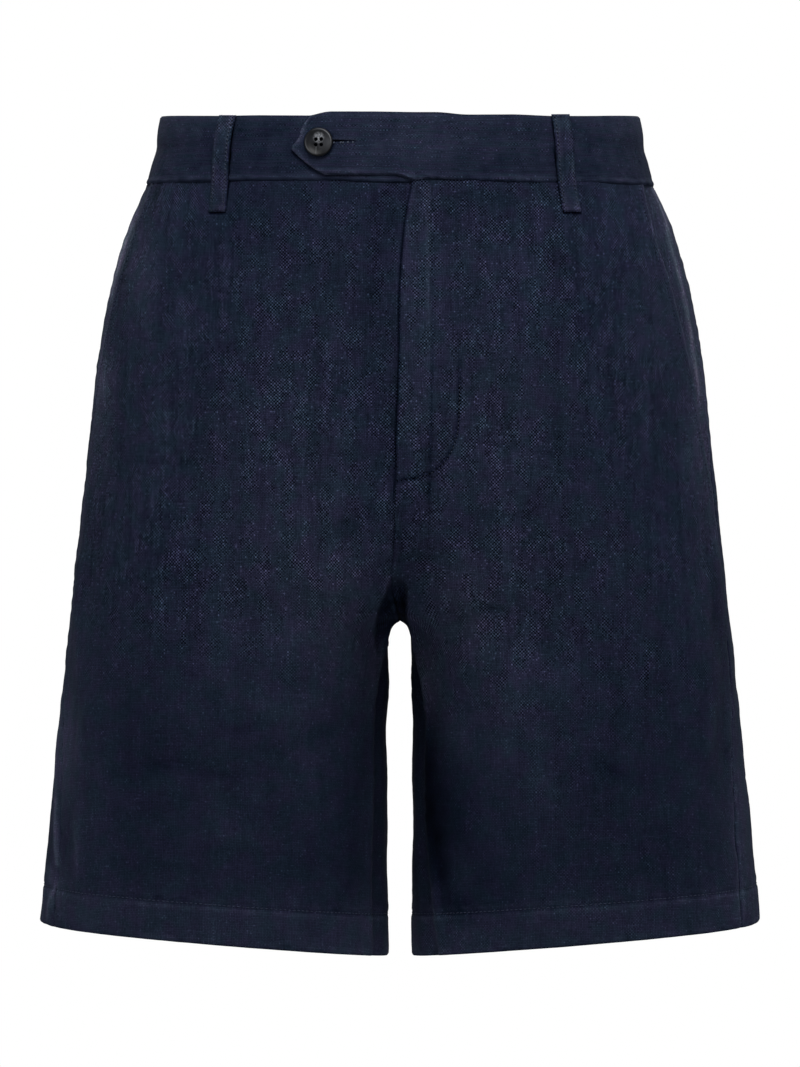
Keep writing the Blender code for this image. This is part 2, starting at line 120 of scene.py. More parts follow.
# Angles round the body in degrees, 0 at the side and minus towards the front
SEAMS = table(
    "level    side_left  side_right  pocket_left  pocket_right  inseam_left  inseam_right",
    (-0.0198,   0.0,   1.0, -22.0, -16.0, 155.0, 155.0),
    (-0.0450,  -1.0,   1.0, -27.0, -19.0, 155.0, 155.0),
    (-0.0900,  -4.0,   1.0, -26.0, -17.0, 155.0, 155.0),
    (-0.1300,  -7.0,   1.0, -23.0, -14.0, 155.0, 155.0),
    (-0.1700, -10.5,   1.0, -19.5,  -8.0, 155.0, 155.0),
    (-0.2000, -13.0,   0.5, -16.0,   0.5, 155.0, 155.0),
    (-0.2170, -14.6,   0.0, -14.6,   0.0, 155.0, 155.0),
    (-0.2870, -18.0,  -7.0, -18.0,  -7.0, 155.0, 155.0),
    (-0.3400, -24.0, -16.0, -24.0, -16.0, 156.0, 154.0),
    (-0.4100, -30.0, -27.0, -30.0, -27.0, 153.0, 152.0),
    (-0.4700, -33.0, -30.0, -33.0, -30.0, 145.0, 152.0))
POCKET_END = {1: -0.217, -1: -0.200}

# The folded edge of the fly, from the middle at some heights
FLY_EDGE = table(
    "level    x",
    (-0.0198,  0.0070),
    (-0.0330,  0.0048),
    (-0.0465,  0.0028),
    (-0.0610,  0.0012),
    (-0.0850, -0.0004),
    (-0.1300, -0.0008),
    (-0.2150, -0.0019))

# Large soft folds: two ends as angle and level, then half width and height
FOLDS = table(
    "side  angle  to_angle  level    to_level  width   height",
    (-1,  -20.0,  -42.0,  -0.255,  -0.345,  0.010,   0.0022),
    (-1,  -42.0,  -46.0,  -0.345,  -0.440,  0.010,   0.0022),
    (-1,  -30.0,  -30.0,  -0.270,  -0.440,  0.009,  -0.0016),
    (-1,  -60.0,  -95.0,  -0.380,  -0.392,  0.012,  -0.0016),
    (-1, -118.0,  -92.0,  -0.300,  -0.345,  0.014,   0.0018),
    (1,   -24.0,  -46.0,  -0.250,  -0.365,  0.010,   0.0020),
    (1,   -30.0,  -34.0,  -0.290,  -0.420,  0.009,  -0.0016),
    (1,  -122.0,  -88.0,  -0.282,  -0.300,  0.009,  -0.0020),
    (1,  -126.0,  -96.0,  -0.300,  -0.325,  0.012,   0.0022),
    (1,  -110.0,  -70.0,  -0.395,  -0.375,  0.012,   0.0018),
    (-1,   60.0,  150.0,  -0.270,  -0.300,  0.014,  -0.0024),
    (-1,   70.0,  160.0,  -0.300,  -0.330,  0.014,   0.0022),
    (-1,   60.0,   66.0,  -0.330,  -0.440,  0.012,   0.0020),
    (1,    55.0,  150.0,  -0.275,  -0.296,  0.014,  -0.0024),
    (1,    64.0,  158.0,  -0.306,  -0.326,  0.014,   0.0020),
    (1,    72.0,   62.0,  -0.340,  -0.440,  0.012,   0.0020))

# Small creases: a face, then two ends as the distance from the middle of the body (on the
# outer side, the distance forward or back) and the height, then half width and height
CREASES = table(
    "face  side  across   z       to_across  to_z    width   height",
    ("front", -1, 0.168, -0.192, 0.104, -0.194, 0.0030, -0.00050),
    ("front", -1, 0.098, -0.192, 0.056, -0.190, 0.0026, -0.00038),
    ("front", -1, 0.050, -0.188, 0.016, -0.189, 0.0026, -0.00045),
    ("front", -1, 0.158, -0.372, 0.121, -0.371, 0.0040, -0.00080),
    ("front", -1, 0.123, -0.376, 0.088, -0.378, 0.0040, -0.00070),
    ("front", -1, 0.103, -0.352, 0.085, -0.350, 0.0032, -0.00065),
    ("front", -1, 0.117, -0.304, 0.094, -0.332, 0.0065, 0.00065),
    ("front", -1, 0.094, -0.332, 0.062, -0.342, 0.0065, 0.00070),
    ("front", -1, 0.062, -0.342, 0.039, -0.328, 0.0060, 0.00060),
    ("front", -1, 0.064, -0.360, 0.030, -0.348, 0.0060, -0.00060),
    ("front", -1, 0.112, -0.410, 0.070, -0.418, 0.0060, 0.00050),
    ("front", -1, 0.1965, -0.268, 0.1925, -0.294, 0.0026, 0.00100),
    ("front", -1, 0.1925, -0.294, 0.1910, -0.330, 0.0026, 0.00090),
    ("front", -1, 0.1910, -0.345, 0.1915, -0.378, 0.0026, 0.00110),
    ("front", -1, 0.1915, -0.396, 0.1910, -0.440, 0.0026, 0.00100),
    ("front", -1, 0.2085, -0.330, 0.2078, -0.395, 0.0018, 0.00090),
    ("front", -1, 0.2078, -0.395, 0.2070, -0.438, 0.0018, 0.00140),
    ("front", -1, 0.2062, -0.444, 0.2128, -0.466, 0.0020, 0.00140),
    ("front", -1, 0.066, -0.452, 0.060, -0.456, 0.0050, 0.00060),
    ("front", -1, 0.053, -0.466, 0.047, -0.478, 0.0045, -0.00060),
    ("front", -1, 0.020, -0.226, 0.052, -0.242, 0.0060, -0.00050),
    ("front", -1, 0.012, -0.246, 0.040, -0.272, 0.0060, 0.00050),
    ("front", 1, 0.040, -0.179, 0.070, -0.184, 0.0030, -0.00050),
    ("front", 1, 0.070, -0.184, 0.106, -0.191, 0.0030, -0.00040),
    ("front", 1, 0.036, -0.222, 0.079, -0.226, 0.0030, -0.00050),
    ("front", 1, 0.0445, -0.2780, 0.0622, -0.2815, 0.0026, -0.00110),
    ("front", 1, 0.0420, -0.2860, 0.0520, -0.2895, 0.0055, 0.00090),
    ("front", 1, 0.1145, -0.369, 0.1385, -0.381, 0.0040, -0.00070),
    ("front", 1, 0.059, -0.344, 0.076, -0.368, 0.0050, -0.00070),
    ("front", 1, 0.078, -0.372, 0.096, -0.392, 0.0050, 0.00060),
    ("front", 1, 0.012, -0.325, 0.019, -0.400, 0.0060, -0.00120),
    ("front", 1, 0.019, -0.400, 0.028, -0.474, 0.0055, -0.00120),
    ("front", 1, 0.030, -0.330, 0.040, -0.372, 0.0070, 0.00070),
    ("front", 1, 0.1880, -0.258, 0.1870, -0.303, 0.0030, -0.00100),
    ("front", 1, 0.1980, -0.286, 0.1985, -0.311, 0.0024, -0.00080),
    ("front", 1, 0.1865, -0.332, 0.1835, -0.363, 0.0030, 0.00100),
    ("front", 1, 0.1985, -0.334, 0.1985, -0.359, 0.0024, 0.00090),
    ("front", 1, 0.1960, -0.362, 0.1990, -0.372, 0.0030, -0.00080),
    ("front", 1, 0.0395, -0.052, 0.0480, -0.092, 0.0060, 0.00050),
    ("outer", -1, -0.030, -0.120, 0.040, -0.128, 0.0060, -0.00070),
    ("outer", -1, 0.060, -0.205, -0.010, -0.232, 0.0070, -0.00080),
    ("outer", -1, -0.020, -0.330, 0.050, -0.352, 0.0070, 0.00090),
    ("outer", -1, 0.010, -0.395, 0.062, -0.380, 0.0060, -0.00080),
    ("outer", 1, -0.020, -0.112, 0.050, -0.104, 0.0060, -0.00070),
    ("outer", 1, -0.010, -0.222, 0.058, -0.196, 0.0070, -0.00080),
    ("outer", 1, -0.030, -0.342, 0.044, -0.330, 0.0070, 0.00090),
    ("outer", 1, 0.000, -0.388, 0.055, -0.402, 0.0060, -0.00080),
    ("back", -1, 0.150, -0.080, 0.100, -0.092, 0.0060, -0.00060),
    ("back", -1, 0.060, -0.062, 0.020, -0.078, 0.0060, -0.00060),
    ("back", -1, 0.150, -0.232, 0.070, -0.262, 0.0055, -0.00110),
    ("back", -1, 0.060, -0.300, 0.130, -0.318, 0.0050, -0.00100),
    ("back", -1, 0.040, -0.352, 0.110, -0.338, 0.0060, 0.00090),
    ("back", -1, 0.150, -0.372, 0.090, -0.392, 0.0060, -0.00080),
    ("back", -1, 0.070, -0.420, 0.120, -0.410, 0.0060, 0.00060),
    ("back", 1, 0.148, -0.088, 0.096, -0.078, 0.0060, -0.00060),
    ("back", 1, 0.056, -0.072, 0.018, -0.060, 0.0060, -0.00060),
    ("back", 1, 0.140, -0.244, 0.076, -0.258, 0.0055, -0.00110),
    ("back", 1, 0.056, -0.306, 0.124, -0.296, 0.0050, -0.00100),
    ("back", 1, 0.046, -0.336, 0.120, -0.350, 0.0060, 0.00090),
    ("back", 1, 0.158, -0.384, 0.084, -0.376, 0.0060, -0.00080),
    ("back", 1, 0.064, -0.412, 0.128, -0.424, 0.0060, 0.00060))


def read(rows, name, level):
    """A smooth curve through one column of a table, read at a level."""
    knots, values = rows["level"][::-1], rows[name][::-1]
    slopes = np.gradient(values, knots)
    i = np.clip(np.searchsorted(knots, level) - 1, 0, len(knots) - 2)
    step = knots[i + 1] - knots[i]
    t = np.clip((level - knots[i]) / step, 0.0, 1.0)
    start = values[i] * (1 + 2 * t) * (1 - t) ** 2 + slopes[i] * step * t * (1 - t) ** 2
    end = values[i + 1] * (3 - 2 * t) * t ** 2 - slopes[i + 1] * step * t ** 2 * (1 - t)
    return start + end


def ease(value):
    """0 up to 0, 1 from 1 on, and smooth between."""
    t = np.clip(value, 0.0, 1.0)
    return t * t * (3 - 2 * t)


def bump(distance, width):
    """1 at a line and falling smoothly to 0 a few widths away from it."""
    return np.exp(-(distance / width) ** 2)


def oval(angle):
    """Unit rounded oval: the x and y of a point at an angle in radians."""
    x, y = np.cos(angle), np.sin(angle)
    reach = (np.abs(x) ** OVAL + np.abs(y) ** OVAL) ** (1 / OVAL)
    return x / reach, y / reach


def torso_point(around, level):
    """A place round the torso, as x, y and how far the cloth hangs off its level there."""
    x, y = oval(around * math.pi / 2)
    back = y > 0
    depth = np.where(back, read(TORSO, "back", level), read(TORSO, "front", level))
    shift = np.where(back, read(TORSO, "back_z", level), read(TORSO, "front_z", level))
    return x * read(TORSO, "half_width", level), y * depth, shift * np.abs(y) ** 1.3


def leg_angle(side, around, level):
    """Degrees round the leg; the cloth near the rise seam spreads out into the fork."""
    inseam = read(SEAMS, "inseam_left" if side > 0 else "inseam_right", level)
    fork = np.where(around < 0, inseam, 360 - inseam) - 90
    near_seam = np.clip((np.abs(around) - FORK_START) / (1 - FORK_START), 0.0, 1.2)
    return 90 * around + np.sign(around) * fork * near_seam ** FORK_SPREAD


def leg_point(side, around, level):
    """A place round the leg, as x, y and how far it is towards the back, -1 to 1."""
    x, y = oval(np.radians(leg_angle(side, around, level)))
    outer, inner = read(LEG, "outer", level), read(LEG, "inner", level)
    widest = read(LEG, "widest_y", level)
    depth = np.where(y > 0, read(LEG, "back", level) - widest,
                     read(LEG, "front", level) + widest)
    return (outer + inner) / 2 + x * (outer - inner) / 2, widest + y * depth, y


def rise_height(y, level):
    """Height of the rise seam, which runs under the body from front to back."""
    level = np.maximum(level, CROTCH)
    crotch_y = leg_point(1, -np.ones(np.shape(level)), level)[1]
    front, back = read(TORSO, "front", level), read(TORSO, "back", level)
    inward = np.where(y < crotch_y, (y + front) / (crotch_y + front),
                      (back - y) / (back - crotch_y))
    power = np.where(y < crotch_y, FRONT_RISE, BACK_RISE)
    fall = (1 - (1 - np.clip(inward, 0.0, 1.0)) ** power) ** (1 / power)
    return RISE_TURN - (RISE_TURN - CROTCH) * fall


def leg_gap(y, z, level):
    """The least distance from the middle that keeps the legs apart under the rise seam."""
    reach = np.clip((rise_height(y, level) - z) / LEG_ARCH, 0.0, 1.0)
    return LEG_GAP * (1 - (1 - reach) ** 2.4) ** (1 / 2.4) - SEAM_OVERLAP


def surface(side, around, level):
    """The body surface of one half, before folds: x is the distance from the middle.

    around is -1 at the inner front seam, 0 at the side and +1 at the inner back seam, and
    level is the height at the side.
    """
    down = np.clip((RISE_TURN - level) / (RISE_TURN - CROTCH), 0.0, 1.0)
    power = np.where(around < 0, FRONT_RISE, BACK_RISE)
    turn = down * math.pi / 2
    seam_in = 1 - np.clip(np.cos(turn), 0.0, 1.0) ** (2 / power)
    seam_fall = np.sin(turn) ** (2 / power)
    near_seam = ease((np.abs(around) - 0.5) / 0.5)
    weight = ease(down) + (seam_in - ease(down)) * near_seam
    fall = down + (seam_fall - down) * near_seam

    crotch_fall = RISE_TURN - (RISE_TURN - CROTCH) * fall
    level_here = np.where((level < RISE_TURN) & (level > CROTCH), crotch_fall, level)

    torso_x, torso_y, shift = torso_point(around, level_here)
    leg_x, leg_y, towards_back = leg_point(side, around, level_here)
    x = torso_x + (leg_x - torso_x) * weight
    y = torso_y + (leg_y - torso_y) * weight

    below = np.clip((CROTCH - level) / (CROTCH - HEM), 0.0, 1.0)
    outer, inner = read(LEG, "outer", level), read(LEG, "inner", level)
    z = np.where(level > RISE_TURN, level + shift, level_here)
    inward = np.clip((outer - x) / (outer - inner), 0.0, 1.0)
    z = z - HEM_DROP * below * inward
    z = z + HEM_LIFT * below * np.clip(-towards_back, 0.0, 1.0) * (0.4 + 1.25 * inward)

    inside = (level < RISE_TURN) & (np.abs(around) <= 1.0)
    x = np.where(inside, np.maximum(x, leg_gap(y, z, level_here)), x)
    return np.stack([x, y, z], axis=-1)


def outward(side, around, level):
    """Unit normals of the body surface, pointing out of the garment."""
    small_turn, small_drop = 0.002, 0.0006
    limit = np.where(level > FLY_END, 2.0, 1.0)
    across = (surface(side, np.minimum(around + small_turn, limit), level)
              - surface(side, np.maximum(around - small_turn, -limit), level))
    down = (surface(side, around, level - small_drop)
            - surface(side, around, level + small_drop))
    normal = np.cross(down, across)
    return normal / np.linalg.norm(normal, axis=-1, keepdims=True)


def degrees_to_around(angle, level):
    """The around value of an angle, on the torso, on the leg and between them."""
    tries = np.linspace(-1.0, 1.0, 401)
    found = []
    for degrees, height in zip(angle, level):
        down = np.clip((RISE_TURN - height) / (RISE_TURN - CROTCH), 0.0, 1.0)
        turned = 90 * tries * (1 - down) + leg_angle(1, tries, height) * down
        found.append(np.interp(degrees, turned, tries))
    return np.array(found)


def x_to_around(x, level):
    """The around value at the front of the torso, at a distance x from the middle."""
    ratio = np.clip(np.abs(x) / read(TORSO, "half_width", level), 1e-6, 1.0)
    angle = np.degrees(np.arctan((ratio ** -OVAL - 1) ** (1 / OVAL)))
    return np.where(x > 0, -angle, angle - 180) / 90


def seam_at(name, side, level):
    """The around value of the side seam or the pocket edge."""
    column = name + ("_left" if side > 0 else "_right")
    return degrees_to_around(read(SEAMS, column, level), level)


def from_line(points, start, end):
    """Distance of points from a straight line, and how far along it they are, 0 to 1."""
    along = end - start
    t = np.clip(((points - start) @ along) / (along @ along), 0.0, 1.0)
    return np.linalg.norm(points - start - t[..., None] * along, axis=-1), t


def fold_height(cloth):
    """How far the large folds lift the cloth; they die out at the rise seam."""
    side = cloth.side
    height = np.zeros(cloth.around.shape)
    for of_side, angle, to_angle, top, low, width, lift in zip(*FOLDS.values()):
        if of_side != side:
            continue
        levels = np.array([top, low])
        ends = surface(side, degrees_to_around(np.array([angle, to_angle]), levels), levels)
        away, t = from_line(cloth.points, ends[0], ends[1])
        height += lift * bump(away, width * (1 + 1.2 * np.sin(math.pi * t)))
    fading = ease((cloth.level - CROTCH + 0.03) / 0.03)
    return height * (1 - fading * (1 - ease((1 - np.abs(cloth.around)) / 0.15)))


def crease_height(cloth):
    """How far the small creases lift the cloth on the face that each one is on."""
    around = cloth.around
    shown = {"front": ease((-0.02 - around) / 0.08), "back": ease((around - 0.02) / 0.08),
             "outer": ease((0.62 - np.abs(around)) / 0.15)}
    height = np.zeros(around.shape)
    for face, of_side, across, z, to_across, to_z, width, lift in zip(*CREASES.values()):
        if of_side != cloth.side:
            continue
        flat = cloth.points[..., [1 if face == "outer" else 0, 2]]
        away, t = from_line(flat, np.array([across, z]), np.array([to_across, to_z]))
        ends = 0.35 + 0.65 * np.sin(math.pi * t)
        height += lift * ends * shown[str(face)] * bump(away, width)
    return height


def ripple(points, length, seed, waves=16):
    """Seeded smooth unevenness, mostly between -1 and 1, with bumps about a length wide."""
    random = np.random.default_rng(seed)
    total = np.zeros(points.shape[:-1])
    for _ in range(waves):
        direction = random.normal(size=3)
        turn = 2 * math.pi / length * random.uniform(0.6, 1.5) / np.linalg.norm(direction)
        total += np.cos(points @ direction * turn + random.uniform(0.0, 2 * math.pi))
    return total / math.sqrt(waves)


def washed(points, seed):
    """The unevenness of washed linen: a soft wave, a few sharp crumples, a fine cockle."""
    soft = 0.00042 * ripple(points, 0.046, seed)
    sharp = 1 - np.abs(ripple(points, 0.034, seed + 1)) / 0.16
    where = ease((ripple(points, 0.060, seed + 2) - 0.1) / 0.8)
    fine = 0.00007 * ripple(points, 0.0085, seed + 3)
    return soft - 0.00032 * ease(sharp) * where + fine


def waist_sag(side, points, level):
    """How far the waist seam of the right half drops towards the fly, under the tab."""
    if side > 0:
        return 0.0
    towards_fly = ease((0.055 - points[..., 0]) / 0.050) * (points[..., 1] < 0)
    return 0.0023 * towards_fly * bump(np.minimum(level - WAIST_SEAM, 0.0), 0.022) * \
        ease((WAIST_TOP - level) / (WAIST_TOP - WAIST_SEAM))


# How far the waist seam has stretched down below its level, at some distances from the middle
SEAM_DROP = {1: ([0.010, 0.020, 0.035, 0.055, 0.080, 0.120, 0.145],
                 [0.0000, 0.0002, 0.0007, 0.0015, 0.0021, 0.0024, 0.0030]),
             -1: ([0.035, 0.055, 0.080, 0.120, 0.145], [0.0000, 0.0010, 0.0012, 0.0017, 0.0019])}


def seam_drop(side, around, x):
    """How far the waist seam is below its level; it dies out at the side."""
    return np.interp(x, *SEAM_DROP[side]) * ease(1 - around / 0.4)


# Between the legs the front's cloth is drawn back into a dark hollow: how far the rim of
# the hollow is from the middle, at some heights
HOLLOW_RIM = {1: ([-0.3000, -0.2845, -0.2720, -0.2640, -0.2615, -0.2600],
                  [0.0076, 0.0042, 0.0036, 0.0032, 0.0022, -0.0020]),
              -1: ([-0.3300, -0.3140, -0.2990, -0.2899, -0.2803,
                    -0.2743, -0.2690, -0.2640, -0.2615, -0.2600],
                   [0.0084, 0.0112, 0.0143, 0.0142, 0.0129,
                    0.0107, 0.0084, 0.0064, 0.0036, -0.0020])}
HOLLOW_DEPTH = 0.011


def drift(z):
    """How far the front's rise seam wanders towards the wearer's right on its way down."""
    return np.interp(z, [-0.288, -0.282, -0.268, -0.258, -0.240, -0.200, -0.130],
                     [0.0, -0.0010, -0.0048, -0.0052, -0.0034, -0.0017, 0.0])


def in_hollow(cloth, soft=0.0014):
    """1 in the hollow between the legs and 0 outside its rim."""
    z = cloth.points[..., 2]
    x = cloth.points[..., 0] + cloth.side * drift(z)
    rim = np.interp(z, *HOLLOW_RIM[cloth.side])
    height = ease((-0.2585 - z) / 0.007) * ease((z + 0.345) / 0.045)
    return ease((rim - x) / soft + 0.5) * height * (cloth.around < 0)


def hollow(cloth):
    """How far the cloth beside the rise seam is drawn back, under the body."""
    return HOLLOW_DEPTH * in_hollow(cloth) * ease((-0.046 - cloth.points[..., 1]) / 0.018)


class Cloth:
    """The places on the body surface that one sewn piece covers, as a grid."""

    def __init__(self, side, around, level):
        self.side, self.around, self.level = side, around, level
        self.points = surface(side, around, level)
        self.points[..., 2] -= waist_sag(side, self.points, level)
        self.normal = outward(side, around, level)
        across = np.linalg.norm(np.diff(self.points, axis=1), axis=-1)
        down = np.linalg.norm(np.diff(self.points[..., 1:], axis=0), axis=-1)
        self.from_start = np.pad(np.cumsum(across, axis=1), ((0, 0), (1, 0)))
        self.from_end = self.from_start[:, -1:] - self.from_start
        self.from_top = np.pad(np.cumsum(down, axis=0), ((1, 0), (0, 0)))
        self.from_foot = self.from_top[-1:] - self.from_top
        self.world = self.points * np.array([side, 1.0, 1.0])

    def soften_fork(self, from_rise):
        """Ease the turn of the cloth where the crotch runs out into the leg."""
        share = 0.5 * bump(self.level - CROTCH, 0.016) * ease((from_rise - 0.003) / 0.008)
        for _ in range(60):
            for values in (self.points, self.normal):
                middle = (values[:-2] + values[2:]) / 2 - values[1:-1]
                values[1:-1] += share[1:-1, :, None] * middle
        self.normal /= np.linalg.norm(self.normal, axis=-1, keepdims=True)
        x, y, z = np.moveaxis(self.points, -1, 0)
        self.points[..., 0] = np.where(self.level < RISE_TURN,
                                       np.maximum(x, leg_gap(y, z, self.level)), x)
        self.world = self.points * np.array([self.side, 1.0, 1.0])

    def pucker(self, away, along, seed, height, length=0.0085, reach=0.008):
        """Short waves that the stitching draws up along a seam."""
        seam = np.stack([along, np.zeros_like(along), np.zeros_like(along)], axis=-1)
        wave = ripple(seam, length, seed) + 0.4 * ripple(self.world, length, seed + 1)
        return height * wave * bump(away, reach)

    def shape(self, lift, thickness, from_rise=1.0):
        """Lay the outer face at a height over the body and the inner face under it.

        Along the rise seam the cloth only moves in or out, so that both halves still meet.
        """
        mirror = np.array([self.side, 1.0, 1.0])
        lift = np.broadcast_to(lift, self.around.shape)[..., None]
        thickness = np.broadcast_to(thickness, self.around.shape)[..., None]
        held = bump(from_rise, 0.004) * ease((self.level - CROTCH + 0.002) / 0.003)
        sideways = np.stack([1 - held, np.ones_like(held), np.ones_like(held)], axis=-1)
        self.outer = (self.points + self.normal * sideways * lift) * mirror
        self.inner = (self.points + self.normal * sideways * (lift - thickness)) * mirror
        back = hollow(self)
        across = drift(self.points[..., 2]) * bump(self.points[..., 0], 0.035) * \
            ease((-0.030 - self.points[..., 1]) / 0.030)
        for face in (self.outer, self.inner):
            face[..., 0] += across
            face[..., 1] += back
        facing = np.cross(np.gradient(self.outer, axis=0), np.gradient(self.outer, axis=1))
        facing *= self.side
        self.out = facing / np.linalg.norm(facing, axis=-1, keepdims=True)

    def at(self, row, column):
        """Places and directions out of the cloth, at fractions of rows and columns."""
        rows, columns = self.around.shape
        i = np.clip(np.floor(row).astype(int), 0, rows - 2)
        j = np.clip(np.floor(column).astype(int), 0, columns - 2)
        s, t = (row - i)[..., None], (column - j)[..., None]
        values = np.concatenate([self.outer, self.out], axis=-1)
        upper = values[i, j] * (1 - t) + values[i, j + 1] * t
        lower = values[i + 1, j] * (1 - t) + values[i + 1, j + 1] * t
        both = upper * (1 - s) + lower * s
        return both[..., :3], both[..., 3:]

    def weave(self):
        """Where each point is in the cloth, in metres: along the weft and along the warp.

        The warp hangs straight down, so the weft is measured from an upright line.
        """
        line_x = 0.10
        flat = np.linalg.norm(np.diff(self.points[..., :2], axis=1), axis=-1)
        weft = np.pad(np.cumsum(flat, axis=1), ((0, 0), (1, 0)))
        middle = np.argmin(np.abs(self.points[..., 0] - line_x), axis=1)
        rows = np.arange(len(weft))
        upright = weft[rows, middle] - (self.points[rows, middle, 0] - line_x) * \
            np.sign(self.points[:, -1, 0] - self.points[:, 0, 0])
        return np.stack([weft - upright[:, None], -self.points[..., 2]], axis=-1)

    def down_edge(self, level, inset, edge="start"):
        """A line down the piece, at an inset from one of its side edges."""
        row = np.interp(-np.asarray(level), -self.level[:, 0], np.arange(len(self.level)))
        inset = np.broadcast_to(inset, row.shape)
        run = self.from_start if edge == "start" else self.from_end
        column = []
        for place, wanted in zip(row, inset):
            i = min(int(place), len(run) - 2)
            distances = run[i] + (run[i + 1] - run[i]) * (place - i)
            numbers = np.arange(len(distances))
            if edge == "end":
                distances, numbers = distances[::-1], numbers[::-1]
            column.append(np.interp(wanted, distances, numbers))
        return self.at(row, np.array(column))

    def across(self, level, first, last):
        """A line across the piece at one level, between two shares of its width."""
        columns = self.around.shape[1] - 1
        share = np.linspace(first, last, 400)
        row = np.interp(-level, -self.level[:, 0], np.arange(len(self.level)))
        return self.at(np.full(share.shape, row), share * columns)

    def through(self, x, z):
        """A line over the piece through places given by x and z, seen from the front."""
        flat = self.outer[..., [0, 2]]
        down, along = np.gradient(flat, axis=0), np.gradient(flat, axis=1)
        rows, columns = [], []
        for target in np.stack([x, z], axis=-1):
            away = np.where(self.around < 0, np.linalg.norm(flat - target, axis=-1), np.inf)
            i, j = np.unravel_index(np.argmin(away), away.shape)
            step = np.linalg.solve(np.stack([down[i, j], along[i, j]], axis=1),
                                   target - flat[i, j])
            rows.append(i + step[0])
            columns.append(j + step[1])
        return self.at(np.array(rows), np.array(columns))

    def sew(self, name, material, wear_and_painted_light=0.0, rubbed=1.0, inner_face_shade=0.0, weave_turned=False):
        """Make the closed shell of the piece: outer face, inner face and rim.

        One value says how much paler or deeper the cloth is at each point than elsewhere, from
        wear and from painted light and shade, another the same for the whole inner face, and
        rubbed how strongly its pale warp shows.
        """
        rows, columns = self.around.shape
        number = np.arange(rows * columns).reshape(rows, columns)
        inner_rows, inner_columns = (rows + 1) // 2, (columns + 1) // 2
        under = np.arange(inner_rows * inner_columns).reshape(inner_rows, inner_columns)
        under = under + rows * columns

        def quads(grid):
            corners = (grid[:-1, :-1], grid[1:, :-1], grid[1:, 1:], grid[:-1, 1:])
            return np.stack(corners, axis=-1).reshape(-1, 4)

        faces = quads(number).tolist() + quads(under)[:, ::-1].tolist()
        border = [(i, 0) for i in range(0, rows, 2)]
        border += [(rows - 1, j) for j in range(2, columns, 2)]
        border += [(i, columns - 1) for i in range(rows - 3, -1, -2)]
        border += [(0, j) for j in range(columns - 3, 0, -2)]
        for here, after in zip(border, border[1:] + border[:1]):
            between = ((here[0] + after[0]) // 2, (here[1] + after[1]) // 2)
            faces.append([number[here], under[here[0] // 2, here[1] // 2],
                          under[after[0] // 2, after[1] // 2], number[after], number[between]])
        if self.side < 0:
            faces = [face[::-1] for face in faces]

        mesh = bpy.data.meshes.new(name)
        places = np.concatenate([self.outer.reshape(-1, 3),
                                 self.inner[::2, ::2].reshape(-1, 3)])
        mesh.from_pydata(places.tolist(), [], faces)
        weave = self.weave()
        if weave_turned:
            weave = weave[..., ::-1]
        seed = sum(ord(letter) for letter in name)
        weave = weave + np.array([5.0 + seed % 17 * 0.31, 5.0 + seed % 13 * 0.37])
        weave = np.concatenate([weave.reshape(-1, 2), weave[::2, ::2].reshape(-1, 2)])
        corner = np.empty(len(mesh.loops), dtype=np.int32)
        mesh.loops.foreach_get("vertex_index", corner)
        mesh.uv_layers.new(name="weave").data.foreach_set("uv", weave[corner].reshape(-1))
        for kind, values, inside in (("wear_and_painted_light", wear_and_painted_light, inner_face_shade), ("rubbed", rubbed, 0.4)):
            values = np.broadcast_to(values, self.around.shape)
            values = np.concatenate([values.reshape(-1), np.full(under.size, inside)])
            mesh.attributes.new(kind, "FLOAT", "POINT").data.foreach_set("value", values)
        mesh.materials.append(material)
        mesh.shade_smooth()
        mesh.set_sharp_from_angle(angle=math.radians(50))
        return place_object(name, mesh)


def node(tree, kind, inputs=(), **settings):
    """Add a node, set its settings, and give its inputs values or links."""
    made = tree.nodes.new(kind)
    for key, value in settings.items():
        setattr(made, key, value)
    for key, value in dict(inputs).items():
        if isinstance(value, bpy.types.NodeSocket):
            tree.links.new(value, made.inputs[key])
        else:
            made.inputs[key].default_value = value
    return made


def calc(tree, operation, *values):
    """A sum, a product or another reckoning with numbers."""
    return node(tree, "ShaderNodeMath", enumerate(values), operation=operation).outputs[0]


def vector(tree, *values):
    """Three numbers as one place or colour."""
    return node(tree, "ShaderNodeCombineXYZ", enumerate(values)).outputs[0]


def noise(tree, place, scale, detail=2.0):
    """Soft random unevenness, 0 to 1."""
    settings = {"Vector": place, "Scale": scale, "Detail": detail}
    return node(tree, "ShaderNodeTexNoise", settings).outputs["Fac"]


def spread(tree, value, low, high, new_low=0.0, new_high=1.0):
    """Map a range to another and hold the value inside it."""
    settings = {"Value": value, "From Min": low, "From Max": high,
                "To Min": new_low, "To Max": new_high}
    return node(tree, "ShaderNodeMapRange", settings).outputs["Result"]


def blend_colours(tree, factor, first, second):
    """The first colour where the factor is 0 and the second where it is 1."""
    made = tree.nodes.new("ShaderNodeMix")
    made.data_type = "RGBA"
    for socket, value in ((made.inputs[0], factor), (made.inputs[6], first),
                          (made.inputs[7], second)):
        if isinstance(value, bpy.types.NodeSocket):
            tree.links.new(value, socket)
        else:
            socket.default_value = value if socket == made.inputs[0] else (*value, 1.0)
    return made.outputs[2]


def times(tree, colour, factor):
    """A colour times a number or, part by part, times another colour."""
    return node(tree, "ShaderNodeVectorMath", {0: colour, 1: factor},
                operation="MULTIPLY").outputs[0]


def roughened(tree, shader, height, strength, distance):
    """Give a material a fine relief from a height."""
    relief = node(tree, "ShaderNodeBump", {"Height": height, "Strength": strength,
                                          "Distance": distance}).outputs[0]
    tree.links.new(relief, shader.inputs["Normal"])


def new_material(name, roughness=0.5, specular=0.5):
    """A material with its gloss set, and the tree and the shader to finish it with."""
    material = bpy.data.materials.new(name)
    material.use_nodes = True
    shader = material.node_tree.nodes["Principled BSDF"]
    shader.inputs["Roughness"].default_value = roughness
    shader.inputs["Specular IOR Level"].default_value = specular
    return material, material.node_tree, shader


